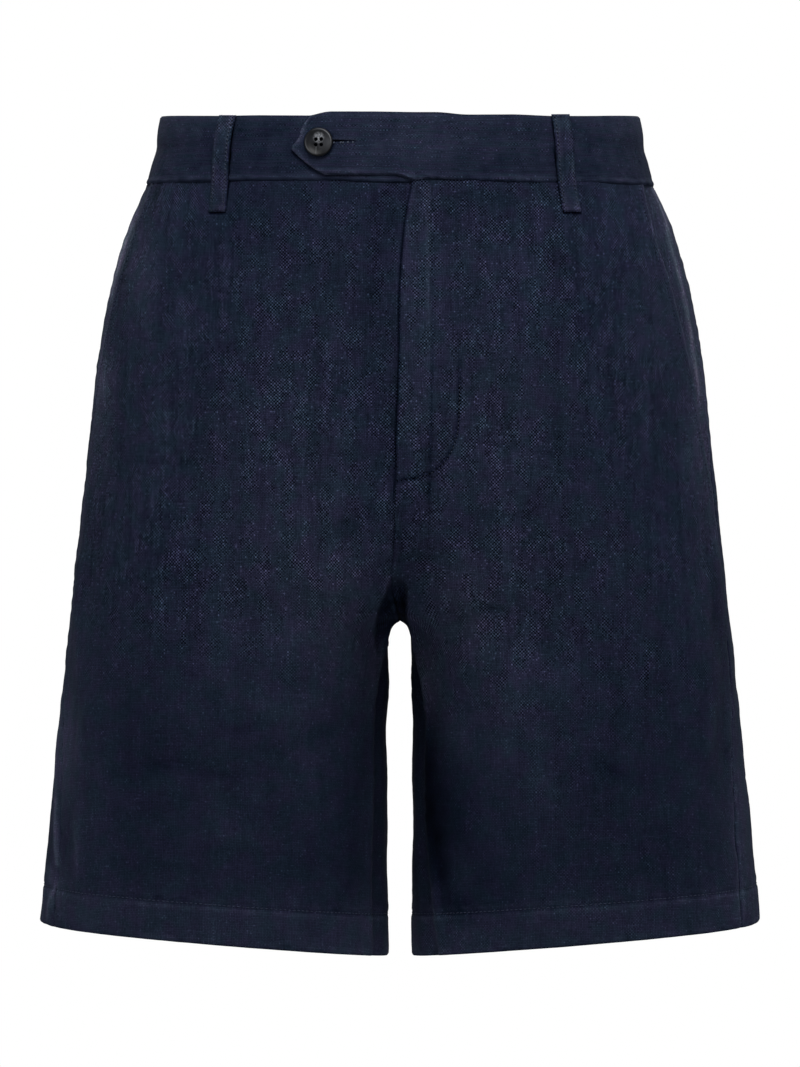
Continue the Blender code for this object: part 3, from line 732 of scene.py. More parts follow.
def linen_material(name, body, pitch=0.00098):
    """Plain-woven linen: uneven threads over and under each other, slubs and worn spots."""
    material, tree, shader = new_material(name, roughness=0.88, specular=0.01)
    weave = node(tree, "ShaderNodeUVMap", uv_map="weave").outputs[0]
    place = node(tree, "ShaderNodeSeparateXYZ", {0: weave})

    def stretched(across, down, seed, detail=2.0):
        """Noise in streaks: so many to the metre across and down."""
        return noise(tree, vector(tree, calc(tree, "MULTIPLY", place.outputs[0], across),
                                  calc(tree, "MULTIPLY", place.outputs[1], down), seed),
                     1.0, detail)

    def wandering(seed):
        """How far the threads stray to one side, in slow and in quick waves."""
        slow = spread(tree, stretched(50.0, 50.0, seed), 0.3, 0.7, -0.0004, 0.0004)
        quick = spread(tree, stretched(150.0, 150.0, seed + 3), 0.3, 0.7, -0.00015, 0.00015)
        return calc(tree, "ADD", slow, quick)

    warp_at = calc(tree, "DIVIDE", calc(tree, "ADD", place.outputs[0], wandering(20.0)), pitch)
    weft_at = calc(tree, "DIVIDE", calc(tree, "ADD", place.outputs[1], wandering(30.0)), pitch)
    warp, weft = calc(tree, "FLOOR", warp_at), calc(tree, "FLOOR", weft_at)
    over = calc(tree, "MODULO", calc(tree, "ADD", warp, weft), 2.0)

    def rounded(position):
        return calc(tree, "SINE", calc(tree, "MULTIPLY", calc(tree, "FRACT", position), math.pi))

    def thread(number, position, seed):
        """How pale one thread is along its length, and how thick its slubs are."""
        line = calc(tree, "MULTIPLY", number, 5.37)
        pale, slub = (noise(tree, vector(tree, line, calc(tree, "MULTIPLY", position, to_metre),
                                         own_seed), 1.0)
                      for to_metre, own_seed in ((260.0, seed), (42.0, seed + 9)))
        return pale, spread(tree, slub, 0.60, 0.80)

    warp_pale, warp_slub = thread(warp, place.outputs[1], 1.0)
    weft_pale, weft_slub = thread(weft, place.outputs[0], 31.0)

    def on_top(of_weft, of_warp):
        return node(tree, "ShaderNodeMix", {0: over, 2: of_weft, 3: of_warp}).outputs[0]

    ridge = on_top(rounded(weft_at), rounded(warp_at))
    arch = on_top(rounded(warp_at), rounded(weft_at))
    height = calc(tree, "MULTIPLY", ridge, calc(tree, "MULTIPLY_ADD", arch, 0.4, 0.6))
    slub = on_top(weft_slub, warp_slub)
    height = calc(tree, "MULTIPLY_ADD", slub, 0.6, height)

    # the warp is paler than the weft, most of all in rubbed patches
    patch = spread(tree, stretched(130.0, 60.0, 2.0, 5.0), 0.45, 0.59, 0.10, 1.0)
    cell = node(tree, "ShaderNodeTexWhiteNoise", {"Vector": vector(tree, warp, weft, 0.0)},
                noise_dimensions="3D").outputs["Value"]
    tone = spread(tree, on_top(weft_pale, warp_pale), 0.25, 0.75, 0.60, 1.20)
    tone = calc(tree, "MULTIPLY_ADD", slub, 0.45, tone)
    rubbed = node(tree, "ShaderNodeAttribute", attribute_name="rubbed").outputs["Fac"]
    clear = calc(tree, "MULTIPLY_ADD", rubbed, 0.65, 0.35)
    # streaks along the threads: how many across and down, a seed, and how strong
    for across, down, seed, change in ((900.0, 110.0, 5.0, 0.20), (110.0, 900.0, 6.0, 0.15),
                                       (220.0, 16.0, 7.0, 0.14), (85.0, 14.0, 8.0, 0.16),
                                       (30.0, 22.0, 12.0, 0.09)):
        streak = spread(tree, stretched(across, down, seed), 0.3, 0.7, -change, change)
        tone = calc(tree, "MULTIPLY_ADD", streak, clear, tone)
    patch = calc(tree, "MULTIPLY", patch, rubbed)
    lean = calc(tree, "MULTIPLY", calc(tree, "SUBTRACT", over, 0.5),
                calc(tree, "MULTIPLY_ADD", cell, 4.2, 0.6))
    tone = calc(tree, "MULTIPLY", tone, calc(tree, "MULTIPLY_ADD", lean, patch, 1.0))
    speck = calc(tree, "MULTIPLY", calc(tree, "POWER", cell, 60.0), clear)
    tone = calc(tree, "MULTIPLY_ADD", speck, 2.2, tone)
    deep = tuple(0.15 * part for part in body)
    fleck = tuple(3.3 * part + 0.008 for part in body)
    colour = blend_colours(tree, spread(tree, tone, 0.0, 1.0), deep, body)
    colour = blend_colours(tree, spread(tree, tone, 1.0, 3.6), colour, fleck)
    hue = spread(tree, noise(tree, weave, 75.0), 0.38, 0.62)
    tint = blend_colours(tree, hue, (0.87, 1.05, 0.95), (1.13, 0.95, 1.05))
    colour = times(tree, colour, tint)
    # painted shade: the colour is darker in the low gaps between the threads
    between = spread(tree, height, 0.1, 0.7, 0.45, 1.0)
    colour = times(tree, colour, between)

    # the lower the value of fading and painted light and shade, the deeper and bluer the colour
    wear_and_painted_light = node(tree, "ShaderNodeAttribute", attribute_name="wear_and_painted_light").outputs["Fac"]
    fade_and_light_factor = calc(tree, "MAXIMUM", calc(tree, "MULTIPLY_ADD", wear_and_painted_light, 0.65, 1.0), 0.03)
    fade_and_light_factor = vector(tree, *(calc(tree, "POWER", fade_and_light_factor, power) for power in (1.20, 1.05, 0.88)))
    tree.links.new(times(tree, colour, fade_and_light_factor), shader.inputs["Base Color"])
    roughened(tree, shader, height, 0.5, 0.00014)
    shader.inputs["Sheen Weight"].default_value = 0.03
    shader.inputs["Sheen Roughness"].default_value = 0.45
    shader.inputs["Sheen Tint"].default_value = (0.40, 0.46, 0.62, 1.0)
    return material


LINEN = linen_material("washed_linen", body=(0.0175, 0.0232, 0.0462))


def thread_material(name, colour):
    """Glossy spun sewing thread with a little light and shade along it."""
    material, tree, shader = new_material(name, roughness=0.60, specular=0.08)
    place = node(tree, "ShaderNodeTexCoord").outputs["Object"]
    uneven = spread(tree, noise(tree, place, 900.0), 0.3, 0.7)
    dark = tuple(0.55 * part for part in colour)
    tree.links.new(blend_colours(tree, uneven, dark, colour), shader.inputs["Base Color"])
    roughened(tree, shader, noise(tree, place, 3500.0), 0.5, 0.00005)
    return material


THREAD = thread_material("navy_thread", (0.0280, 0.0370, 0.0660))
PALE_THREAD = thread_material("faded_thread", (0.0720, 0.0860, 0.1250))
WORN_THREAD = thread_material("worn_thread", (0.0380, 0.0470, 0.0850))
# A near-black painted shadow, for needle holes, the buttonhole's opening and the button's shank.
SHADOW, _, shader = new_material("seam_shadow", roughness=1.0, specular=0.0)
shader.inputs["Base Color"].default_value = (0.0012, 0.0015, 0.0028, 1.0)


def stitching_tree():
    """Stitches laid along lines: one small rounded stitch at each step of the needle."""
    tree = bpy.data.node_groups.new("stitching", "GeometryNodeTree")
    face = tree.interface
    face.new_socket("Geometry", in_out="INPUT", socket_type="NodeSocketGeometry")
    for name, kind in (("Pitch", "NodeSocketFloat"), ("Length", "NodeSocketFloat"),
                       ("Radius", "NodeSocketFloat"), ("Slant", "NodeSocketFloat"),
                       ("Seed", "NodeSocketInt"), ("Thread", "NodeSocketMaterial")):
        face.new_socket(name, in_out="INPUT", socket_type=kind)
    face.new_socket("Geometry", in_out="OUTPUT", socket_type="NodeSocketGeometry")
    sizes = tree.nodes.new("NodeGroupInput").outputs
    line = node(tree, "GeometryNodeMeshToCurve", {"Mesh": sizes["Geometry"]}).outputs[0]
    steps = node(tree, "GeometryNodeResampleCurve", {"Curve": line, "Length": sizes["Pitch"]},
                 mode="LENGTH").outputs[0]
    along = node(tree, "GeometryNodeInputTangent").outputs[0]
    out = node(tree, "GeometryNodeInputNamedAttribute", {"Name": "out"},
               data_type="FLOAT_VECTOR").outputs["Attribute"]
    turned = node(tree, "FunctionNodeAxesToRotation", {"Primary Axis": along,
                                                      "Secondary Axis": out},
                  primary_axis="X", secondary_axis="Z").outputs[0]
    lean = node(tree, "FunctionNodeRandomValue",
                {2: calc(tree, "ADD", sizes["Slant"], -0.16),
                 3: calc(tree, "ADD", sizes["Slant"], 0.16),
                 "Seed": sizes["Seed"]}).outputs[1]
    leaning = node(tree, "FunctionNodeEulerToRotation",
                   {0: node(tree, "ShaderNodeCombineXYZ", {2: lean}).outputs[0]}).outputs[0]
    turned = node(tree, "FunctionNodeRotateRotation", {0: turned, 1: leaning},
                  rotation_space="LOCAL").outputs[0]
    size = node(tree, "FunctionNodeRandomValue", {2: 0.72, 3: 1.20,
                                                  "Seed": sizes["Seed"]}).outputs[1]
    half = calc(tree, "MULTIPLY", calc(tree, "MULTIPLY", sizes["Length"], 0.5), size)
    scale = node(tree, "ShaderNodeCombineXYZ", {0: half, 1: sizes["Radius"],
                                                2: sizes["Radius"]}).outputs[0]
    stitch = node(tree, "GeometryNodeMeshUVSphere", {"Segments": 7, "Rings": 5,
                                                    "Radius": 1.0}).outputs[0]
    laid = node(tree, "GeometryNodeInstanceOnPoints",
                {"Points": steps, "Instance": stitch, "Rotation": turned,
                 "Scale": scale}).outputs[0]
    real = node(tree, "GeometryNodeRealizeInstances", {0: laid}).outputs[0]
    smooth = node(tree, "GeometryNodeSetShadeSmooth", {0: real}).outputs[0]
    made = node(tree, "GeometryNodeSetMaterial", {0: smooth, "Material": sizes["Thread"]})
    node(tree, "NodeGroupOutput", {0: made.outputs[0]})
    return tree


STITCHING = stitching_tree()


def stitch(name, lines, pitch=0.0028, length=0.0024, radius=0.00021, slant=0.0, seed=1,
           thread=None):
    """Sew along lines of places with their directions out of the cloth."""
    mesh = bpy.data.meshes.new(name + "_lines")
    places, outs, edges = [], [], []
    for points, out in lines:
        first = len(places)
        places += (points + 0.00004 * out).tolist()
        outs += out.tolist()
        edges += [(first + i, first + i + 1) for i in range(len(points) - 1)]
    mesh.from_pydata(places, edges, [])
    mesh.attributes.new("out", "FLOAT_VECTOR", "POINT").data.foreach_set(
        "vector", np.array(outs).reshape(-1))
    guide = place_object(name + "_guide", mesh)
    sewing = guide.modifiers.new("stitching", "NODES")
    sewing.node_group = STITCHING
    values = {"Pitch": pitch, "Length": length, "Radius": radius, "Slant": slant,
              "Seed": seed, "Thread": thread or THREAD}
    for socket in STITCHING.interface.items_tree:
        if socket.name in values:
            sewing[socket.identifier] = values[socket.name]
    made = bpy.data.meshes.new_from_object(
        guide.evaluated_get(bpy.context.evaluated_depsgraph_get()))
    bpy.data.objects.remove(guide)
    made.name = name
    piece = place_object(name, made)
    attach(piece, "root")


def needle_holes(name, lines, pitch=0.0028, radius=0.00030, seed=1):
    """Dots of painted shadow where the thread of a line of stitches goes into the cloth."""
    run = [np.linalg.norm(np.diff(points, axis=0), axis=1).sum() / (len(points) - 1)
           for points, _ in lines]
    later = [max(int(pitch / 2 / step), 1) for step in run]
    stitch(name, [(points[skip:], out[skip:]) for (points, out), skip in zip(lines, later)],
           pitch, length=0.0012, radius=radius, seed=seed, thread=SHADOW)


def odd(count):
    """An odd number of grid lines, so that every second one has an inner twin."""
    return int(count) // 2 * 2 + 1


def panel_levels():
    """Heights of the mesh rows of a leg panel, closer together where the rise seam turns
    under and at the hem's fold."""
    torso = np.linspace(WAIST_SEAM + 0.0014, RISE_TURN, 106)
    fork = RISE_TURN - (RISE_TURN - CROTCH) * np.linspace(0.0, 1.0, 76) ** 1.4
    leg = np.linspace(CROTCH, HEM + 0.0012, 113)
    return np.concatenate([torso, fork[1:], leg[1:], [HEM + 0.0004, HEM]])


def panel_grid(start, end, level, columns, crowd=1.0):
    """A grid from edge to edge, its columns closer together towards the first edge."""
    share = np.linspace(0.0, 1.0, odd(columns))[None, :] ** crowd
    around = start[:, None] * (1 - share) + end[:, None] * share
    return around, np.broadcast_to(level[:, None], around.shape)


def calm_seam(cloth):
    """The right leg's side seam lies flat and hardly shows from the knee down to the hem."""
    beside = ease((0.6 - np.abs(cloth.around)) / 0.1)
    return (cloth.side < 0) * ease((-0.270 - cloth.level) / 0.060) * beside


def seam_edge(cloth, away, seed, strength=1.0, depth=0.00085):
    """A pressed-open seam: the edge turns in, the allowance swells, the thread draws up."""
    turned_in = -depth * np.clip(1 - away / 0.0021, 0.0, 1.0) ** 2
    swell = 0.00030 * bump(away - 0.0055, 0.0038)
    turned_in *= 1 - 0.6 * calm_seam(cloth)
    drawn = cloth.pucker(away, cloth.world[..., 2], seed, 0.00026)
    return turned_in + strength * (swell + drawn)


def under_band(cloth):
    """Distance down from the waist seam, 0 where the band covers the cloth."""
    drop = seam_drop(cloth.side, cloth.around, cloth.points[..., 0])
    return np.maximum(cloth.from_top - drop, 0.0)


def hem_height(cloth, seed):
    """The turned-up hem: a fuller band under a drawn-in line of stitches."""
    over = cloth.level - (HEM + HEM_HEIGHT)
    band = 0.00035 * ease(-over / 0.003) - 0.00030 * bump(over, 0.0012)
    band += 0.00020 * bump(over - 0.0035, 0.0022)
    twist = ripple(cloth.world * np.array([1.0, 1.0, 0.35]), 0.017, seed)
    return band + 0.00016 * twist * ease((0.012 - over) / 0.010)


def panel_wall(cloth):
    """Thickness of a leg panel, doubled at its hem and at the seams' allowances."""
    turned_up = ease((HEM + HEM_HEIGHT + 0.0015 - cloth.level) / 0.002)
    wall = CLOTH + (HEM_CLOTH - CLOTH) * turned_up
    edge = np.minimum(cloth.from_start, cloth.from_end)
    return wall + 0.0005 * ease((0.0115 - edge) / 0.0012) * (1 - turned_up)


def panel_lift(cloth, seed):
    """What every leg panel has: folds, creases, crumples, its hem and the waist seam."""
    calm = 1 - 0.7 * bump(np.minimum(cloth.from_start, cloth.from_end), 0.012)
    return (fold_height(cloth) + crease_height(cloth) + washed(cloth.world, seed) * calm
            + hem_height(cloth, seed + 5) + seam_edge(cloth, under_band(cloth), seed + 6, 0.6))


def above(level, end):
    """1 above the end of the fly or of a pocket and 0 below it."""
    return ease((level - end) / 0.004)


def front_cloth(side):
    """A front from the fly or the rise seam to the pocket's edge or the side seam."""
    level = panel_levels()
    middle = x_to_around(np.full(level.shape, 0.0), level)
    fly_x = read(FLY_EDGE, "x", level) if side > 0 else np.full(level.shape, -FLY_UNDERLAP)
    to_fly = (x_to_around(fly_x, level) - middle) * above(level, FLY_END)
    start = np.where(level < FLY_END, -1.0, middle + to_fly)
    pocket = level > POCKET_END[side]
    end = np.where(pocket, seam_at("pocket", side, level), seam_at("side", side, level))
    return Cloth(side, *panel_grid(start, end, level, 0.250 / CELL, crowd=1.3))


# The J of topstitching that holds the fly's facing, as seen from the front
FLY_STITCH = table(
    "x        z",
    (0.0345, -0.0300),
    (0.0350, -0.0700),
    (0.0352, -0.1300),
    (0.0348, -0.1640),
    (0.0338, -0.1760),
    (0.0312, -0.1840),
    (0.0280, -0.1900),
    (0.0240, -0.1948),
    (0.0190, -0.1985),
    (0.0110, -0.2015),
    (-0.0014, -0.2030))


def smooth_line(x, z, count=160):
    """A line drawn smoothly through a few places."""
    rows = np.stack([x, z], axis=-1)
    for _ in range(3):
        corners_cut = np.stack([rows[:-1] * 0.75 + rows[1:] * 0.25,
                                rows[:-1] * 0.25 + rows[1:] * 0.75], axis=1).reshape(-1, 2)
        rows = np.concatenate([rows[:1], corners_cut[1:-1], rows[-1:]])
    walked = np.pad(np.cumsum(np.linalg.norm(np.diff(rows, axis=0), axis=1)), (1, 0))
    share = np.linspace(0.0, walked[-1], count)
    return np.interp(share, walked, rows[:, 0]), np.interp(share, walked, rows[:, 1])


def front_lift(cloth, seed):
    """How far the front stands off the body, with its seams, its pocket edge and its fly."""
    side, level, points = cloth.side, cloth.level, cloth.points
    lift = panel_lift(cloth, seed)
    on_leg = ease((CROTCH - 0.012 - level) / 0.02)
    lift += 0.0010 * on_leg * bump(cloth.from_start - 0.004, 0.004)

    pocket, away = above(level, POCKET_END[side]), cloth.from_end
    lift += (1 - pocket) * seam_edge(cloth, away, seed + 7)
    lift += pocket * (0.00030 * ease((0.0085 - away) / 0.002)
                      - 0.00026 * bump(away - 0.0062, 0.0009)
                      + cloth.pucker(away - 0.004, cloth.world[..., 2], seed + 8, 0.00022))

    fly, away = above(level, FLY_END), cloth.from_start
    lift += (1 - fly) * seam_edge(cloth, away, seed + 9, depth=0.0004)
    if side > 0:
        x = points[..., 0]
        lift += (FLY_LIFT * ease((0.034 - x) / 0.014)
                 * ease((level - FLY_END + 0.020) / 0.016))
        strip = ease((level + 0.206) / 0.012) * ease((-0.030 - level) / 0.010)
        lift += strip * (0.00070 * ease((0.0180 - x) / 0.0016)
                         + 0.00030 * bump(x - 0.0146, 0.0022))
        stitched = from_fly_stitch(cloth)
        tight = 0.25 + 0.75 * ease((-0.120 - level) / 0.030)
        lift += tight * (0.00025 * bump(stitched - 0.0032, 0.0018)
                         - 0.00050 * bump(stitched, 0.0011))
        lift += cloth.pucker(stitched, points[..., 2], seed + 10, 0.00024, reach=0.006)
        tack = from_line(points[..., [0, 2]], np.array([0.003, -0.0355]),
                         np.array([0.018, -0.0370]))[0]
        lift += -0.00045 * bump(tack, 0.0011)
    return lift


def from_fly_stitch(cloth):
    """Distance of the front's points from the J of stitches, seen from the front."""
    line = np.stack(smooth_line(FLY_STITCH["x"], FLY_STITCH["z"], 30), axis=-1)
    flat = cloth.points[..., [0, 2]]
    return np.min([from_line(flat, start, end)[0] for start, end in zip(line, line[1:])], axis=0)


def folded_edges(cloth, *edges):
    """How far the outer face is rounded back along folded edges."""
    back = np.zeros(cloth.around.shape)
    for away, share in edges:
        back = np.maximum(back, share * 0.00075 * np.clip(1 - away / 0.0013, 0.0, 1.0) ** 1.5)
    return back


def seam_wear(cloth, *edges):
    """Paler cloth on the ridges beside seams and folds, deeper colour in the seam itself."""
    wear_and_painted_light = np.zeros(cloth.around.shape)
    for away, strength in edges:
        rubbed = bump(away - 0.0022, 0.0016) * (0.65 + 0.6 * ripple(cloth.world, 0.009, 77))
        wear_and_painted_light += strength * (rubbed - 0.9 * bump(away, 0.0007))
    return np.clip(wear_and_painted_light, -1.0, 1.0) * (1 - 0.75 * calm_seam(cloth))


# The belt loops: their middle round the body at the top and at the bottom, how far it bows
# in between, and their width
LOOPS = {"front_left": (1, -0.572, -0.591, 0.002, 0.0122),
         "front_right": (-1, -0.535, -0.562, 0.011, 0.0116),
         "back_left": (1, 0.56, 0.56, 0.0, 0.0112), "back_right": (-1, 0.56, 0.56, 0.0, 0.0112),
         "centre_back": (1, 1.0, 1.0, 0.0, 0.0112)}
LOOP_TOP, LOOP_END = 0.0210, -0.0405


def loop_middle(label, level):
    """The around value of a loop's middle at a height."""
    side, top, bottom, bow, width = LOOPS[label]
    share = np.clip((level - LOOP_END) / (LOOP_TOP - LOOP_END), 0.0, 1.0)
    return bottom + (top - bottom) * share + bow * np.sin(math.pi * share)


def under_loops(cloth):
    """Painted shade where a belt loop covers the cloth, seen as a dark line beside the loop."""
    shade = np.zeros(cloth.around.shape)
    metres = np.gradient(cloth.from_start, axis=1) / np.gradient(cloth.around, axis=1)
    for label, (side, *_, width) in LOOPS.items():
        away = np.abs(cloth.around - loop_middle(label, cloth.level)) * np.abs(metres)
        beside = ease((width / 2 - away) / 0.0005 + 0.5)
        here = side == cloth.side or label == "centre_back"
        shade += beside * ease((cloth.level - LOOP_END + 0.0009) / 0.0004) * here
    return np.minimum(shade, 1.0)


# Where the front is paler or deeper than elsewhere, from the waist down: partly fading and
# partly painted light and shade, such as pale spots at the hips' edges and beside the leg
# opening: the middle of each place, its half width and half height, and how much paler it is
FADES_AND_PAINTED_LIGHT = table(
    "side  x      z       across  down   paler",
    (-1,  0.075,  0.000,  0.030,  0.020, -0.14),
    (-1,  0.108,  0.000,  0.016,  0.020, -0.18),
    (-1,  0.129,  0.000,  0.012,  0.022,  0.30),
    (-1,  0.055, -0.035,  0.070,  0.030, -0.28),
    (-1,  0.156, -0.070,  0.010,  0.040,  0.70),
    (-1,  0.095, -0.080,  0.040,  0.075, -0.18),
    (-1,  0.108, -0.138,  0.020,  0.020, -0.22),
    (-1,  0.180, -0.140,  0.006,  0.018,  1.40),
    (-1,  0.035, -0.155,  0.018,  0.020, -0.25),
    (-1,  0.181, -0.160,  0.010,  0.040,  1.00),
    (-1,  0.065, -0.165,  0.050,  0.045,  0.22),
    (-1,  0.131, -0.244,  0.025,  0.030, -0.28),
    (-1,  0.058, -0.258,  0.048,  0.055,  0.52),
    (-1,  0.035, -0.294,  0.020,  0.030,  0.60),
    (-1,  0.010, -0.322,  0.008,  0.022,  1.50),
    (-1,  0.010, -0.350,  0.008,  0.010, -0.30),
    (-1,  0.060, -0.358,  0.015,  0.020,  0.28),
    (-1,  0.204, -0.361,  0.009,  0.035,  1.50),
    (-1,  0.155, -0.372,  0.018,  0.035, -0.18),
    (-1,  0.107, -0.390,  0.012,  0.030,  0.20),
    (-1,  0.188, -0.400,  0.014,  0.070,  0.40),
    (-1,  0.012, -0.420,  0.010,  0.070,  0.85),
    (-1,  0.060, -0.424,  0.015,  0.014, -0.20),
    (-1,  0.206, -0.447,  0.008,  0.014,  0.90),
    (-1,  0.050, -0.458,  0.018,  0.009, -0.25),
    (-1,  0.130, -0.458,  0.018,  0.009, -0.20),
    (1,   0.008,  0.000,  0.022,  0.020,  0.14),
    (1,   0.035,  0.000,  0.035,  0.022,  0.22),
    (1,   0.131,  0.000,  0.012,  0.022,  0.40),
    (1,   0.050, -0.030,  0.028,  0.030, -0.36),
    (1,   0.118, -0.065,  0.035,  0.065, -0.26),
    (1,   0.132, -0.090,  0.018,  0.030,  0.15),
    (1,   0.156, -0.090,  0.016,  0.055,  0.35),
    (1,   0.062, -0.103,  0.020,  0.020, -0.18),
    (1,   0.108, -0.103,  0.020,  0.020, -0.18),
    (1,   0.182, -0.160,  0.010,  0.060,  1.00),
    (1,   0.058, -0.165,  0.025,  0.050,  0.25),
    (1,   0.108, -0.190,  0.020,  0.025, -0.22),
    (1,   0.157, -0.225,  0.022,  0.050, -0.20),
    (1,   0.038, -0.236,  0.014,  0.022, -0.22),
    (1,   0.183, -0.240,  0.012,  0.070,  0.25),
    (1,   0.012, -0.272,  0.012,  0.018, -0.28),
    (1,   0.035, -0.278,  0.018,  0.030,  0.60),
    (1,   0.050, -0.295,  0.032,  0.060,  0.50),
    (1,   0.013, -0.323,  0.010,  0.024,  1.90),
    (1,   0.062, -0.345,  0.012,  0.025,  0.30),
    (1,   0.085, -0.365,  0.030,  0.055,  0.32),
    (1,   0.108, -0.376,  0.018,  0.022, -0.20),
    (1,   0.182, -0.390,  0.015,  0.050,  0.22),
    (1,   0.037, -0.395,  0.012,  0.026, -0.22),
    (1,   0.012, -0.403,  0.007,  0.014, -0.28),
    (1,   0.205, -0.410,  0.010,  0.060,  0.90),
    (1,   0.036, -0.432,  0.010,  0.014,  0.45),
    (1,   0.060, -0.435,  0.012,  0.040, -0.10),
    (1,   0.012, -0.455,  0.010,  0.028,  0.60),
    (1,   0.062, -0.458,  0.016,  0.009, -0.32),
    (1,   0.156, -0.458,  0.018,  0.009, -0.25),
    (1,   0.036, -0.459,  0.010,  0.009, -0.75))


# Lines of painted highlight, almost white, along the lower side seam of the wearer's right
# leg and a crease beside it: two ends, half width and strength
PAINTED_HIGHLIGHT_LINES = table(
    "side  x       z       to_x    to_z    width   paler",
    (-1,  0.2092, -0.350,  0.2079, -0.395,  0.0011,  0.9),
    (-1,  0.2079, -0.395,  0.2068, -0.433,  0.0012,  2.2),
    (-1,  0.2066, -0.444,  0.2126, -0.466,  0.0013,  1.3),
    (-1,  0.2115, -0.436,  0.2105, -0.443,  0.0022,  0.9),
    (-1,  0.1950, -0.400,  0.1910, -0.430,  0.0016,  0.5))


def sun_wear(cloth):
    """Fading, painted light and shade, and lines of painted highlight on the front."""
    x, z = cloth.points[..., 0], cloth.points[..., 2]
    wear_and_painted_light = np.zeros(cloth.around.shape)
    flat = cloth.points[..., [0, 2]]
    for side, at_x, at_z, to_x, to_z, width, paler in zip(*PAINTED_HIGHLIGHT_LINES.values()):
        if side == cloth.side:
            away = from_line(flat, np.array([at_x, at_z]), np.array([to_x, to_z]))[0]
            wear_and_painted_light += paler * bump(away, width)
    for side, at_x, at_z, across, down, paler in zip(*FADES_AND_PAINTED_LIGHT.values()):
        if side == cloth.side:
            wear_and_painted_light += paler * bump(np.hypot((x - at_x) / across, (z - at_z) / down), 1.0)
    wear_and_painted_light += 0.06 * ripple(cloth.world, 0.016, 81)
    return wear_and_painted_light * ease(-cloth.around / 0.10)


# How far from the middle the shade between the legs reaches, at some distances down
SHADE_REACH = {1: ([0.290, 0.310, 0.360, 0.400, 0.435, 0.490],
                   [0.014, 0.024, 0.036, 0.052, 0.074, 0.080]),
               -1: ([0.290, 0.310, 0.362, 0.413, 0.490],
                    [0.016, 0.025, 0.042, 0.058, 0.066])}


def inner_shade(cloth, legs):
    """Painted shade between the legs, deepest in the hollow at the fork.

    legs is how much deeper it is along the legs, below the hollow.
    """
    x, z = cloth.points[..., 0], cloth.points[..., 2]
    reach = np.interp(-z, *SHADE_REACH[cloth.side])
    low = ease((-0.288 - z) / 0.030) * ease((reach - x) / (0.75 * reach))
    low *= (0.25 + 0.75 * ease((-0.330 - z) / 0.045)) * ease((z + 0.462) / 0.030)
    deep = (0.20 + 1.10 * ease((-0.261 - z) / 0.016)) * ease((z + 0.314) / 0.028)
    return np.maximum(legs * low, deep * in_hollow(cloth, 0.0020))


def hem_wear(cloth):
    """The doubled hem takes more of the rubbing and has faded more than the leg above it."""
    over = cloth.level - (HEM + HEM_HEIGHT)
    lowest = ease((0.0065 - cloth.from_foot) / 0.006)
    return (0.54 - 0.24 * lowest) * ease(-over / 0.002) + 0.12 * bump(over - 0.004, 0.012)


def leg_rubbed(cloth):
    """The warp shows most over the hips and thighs, less at the sides and the lower legs."""
    x, z = cloth.points[..., 0], cloth.points[..., 2]
    low = ease(((-0.272 if cloth.side > 0 else -0.250) - z) / 0.090)
    high = ease((z + 0.150) / 0.060) * (cloth.side < 0)
    sides = ease((x - 0.130) / 0.050)
    blotches = 0.92 + 0.30 * ripple(cloth.world, 0.080, 79)
    kept = (1 - (0.76 if cloth.side > 0 else 0.92) * low) * (1 - 0.22 * high)
    return kept * (1 - 0.30 * sides) * np.clip(blotches, 0.3, 1.2)


def leg_fade(cloth):
    """Painted shade: the legs darken from the hips down towards the hem."""
    z = cloth.points[..., 2]
    return -(0.36 if cloth.side > 0 else 0.27) * ease((-0.230 - z) / 0.150)


def crease_wear(cloth):
    """Painted shade in crease hollows; paler ridges, partly worn and partly painted light."""
    return 420.0 * crease_height(cloth)


def fly_wear(cloth):
    """Painted shade along the fly's stitches and edges and under it; paler cloth on its strip."""
    x, level = cloth.points[..., 0], cloth.level
    down = ease((level + 0.250) / 0.040) * ease((-0.020 - level) / 0.006)
    on_fly = ease((level - FLY_END - 0.004) / 0.008)
    if cloth.side < 0:
        under = -x - read(FLY_EDGE, "x", level)
        return -down * ((0.25 + 0.90 * on_fly) * bump(under - 0.0002, 0.0008)
                        + 0.32 * bump(under + 0.012, 0.014))
    stitched = from_fly_stitch(cloth)
    broken = np.clip(0.85 + 0.35 * ripple(cloth.world, 0.0032, 78), 0.2, 1.3)
    rubbed = ease((x - 0.001) / 0.002) * ease((0.0200 - x) / 0.003)
    low, middle = ease((-0.165 - level) / 0.03), ease((-0.110 - level) / 0.03)
    tight = 0.15 + 0.85 * ease((-0.120 - level) / 0.030)
    inner = (0.35 + 0.50 * middle) * bump(x - 0.0188, 0.0009) * ease((-0.050 - level) / 0.03)
    dark = np.maximum(1.10 * tight * bump(stitched, 0.0012), inner * on_fly * down)
    folded = bump(cloth.from_start - 0.0002, 0.0009) * on_fly * ease((-0.019 - level) / 0.004)
    return (broken * (0.30 * tight * bump(stitched - 0.0026, 0.0013) - dark) - 1.10 * folded
            + down * (0.26 * rubbed * (1 - low)
                      + 0.60 * bump(x - 0.0163, 0.0012) * broken * (1 - middle)
                      - 0.30 * low * bump(x, 0.014)))


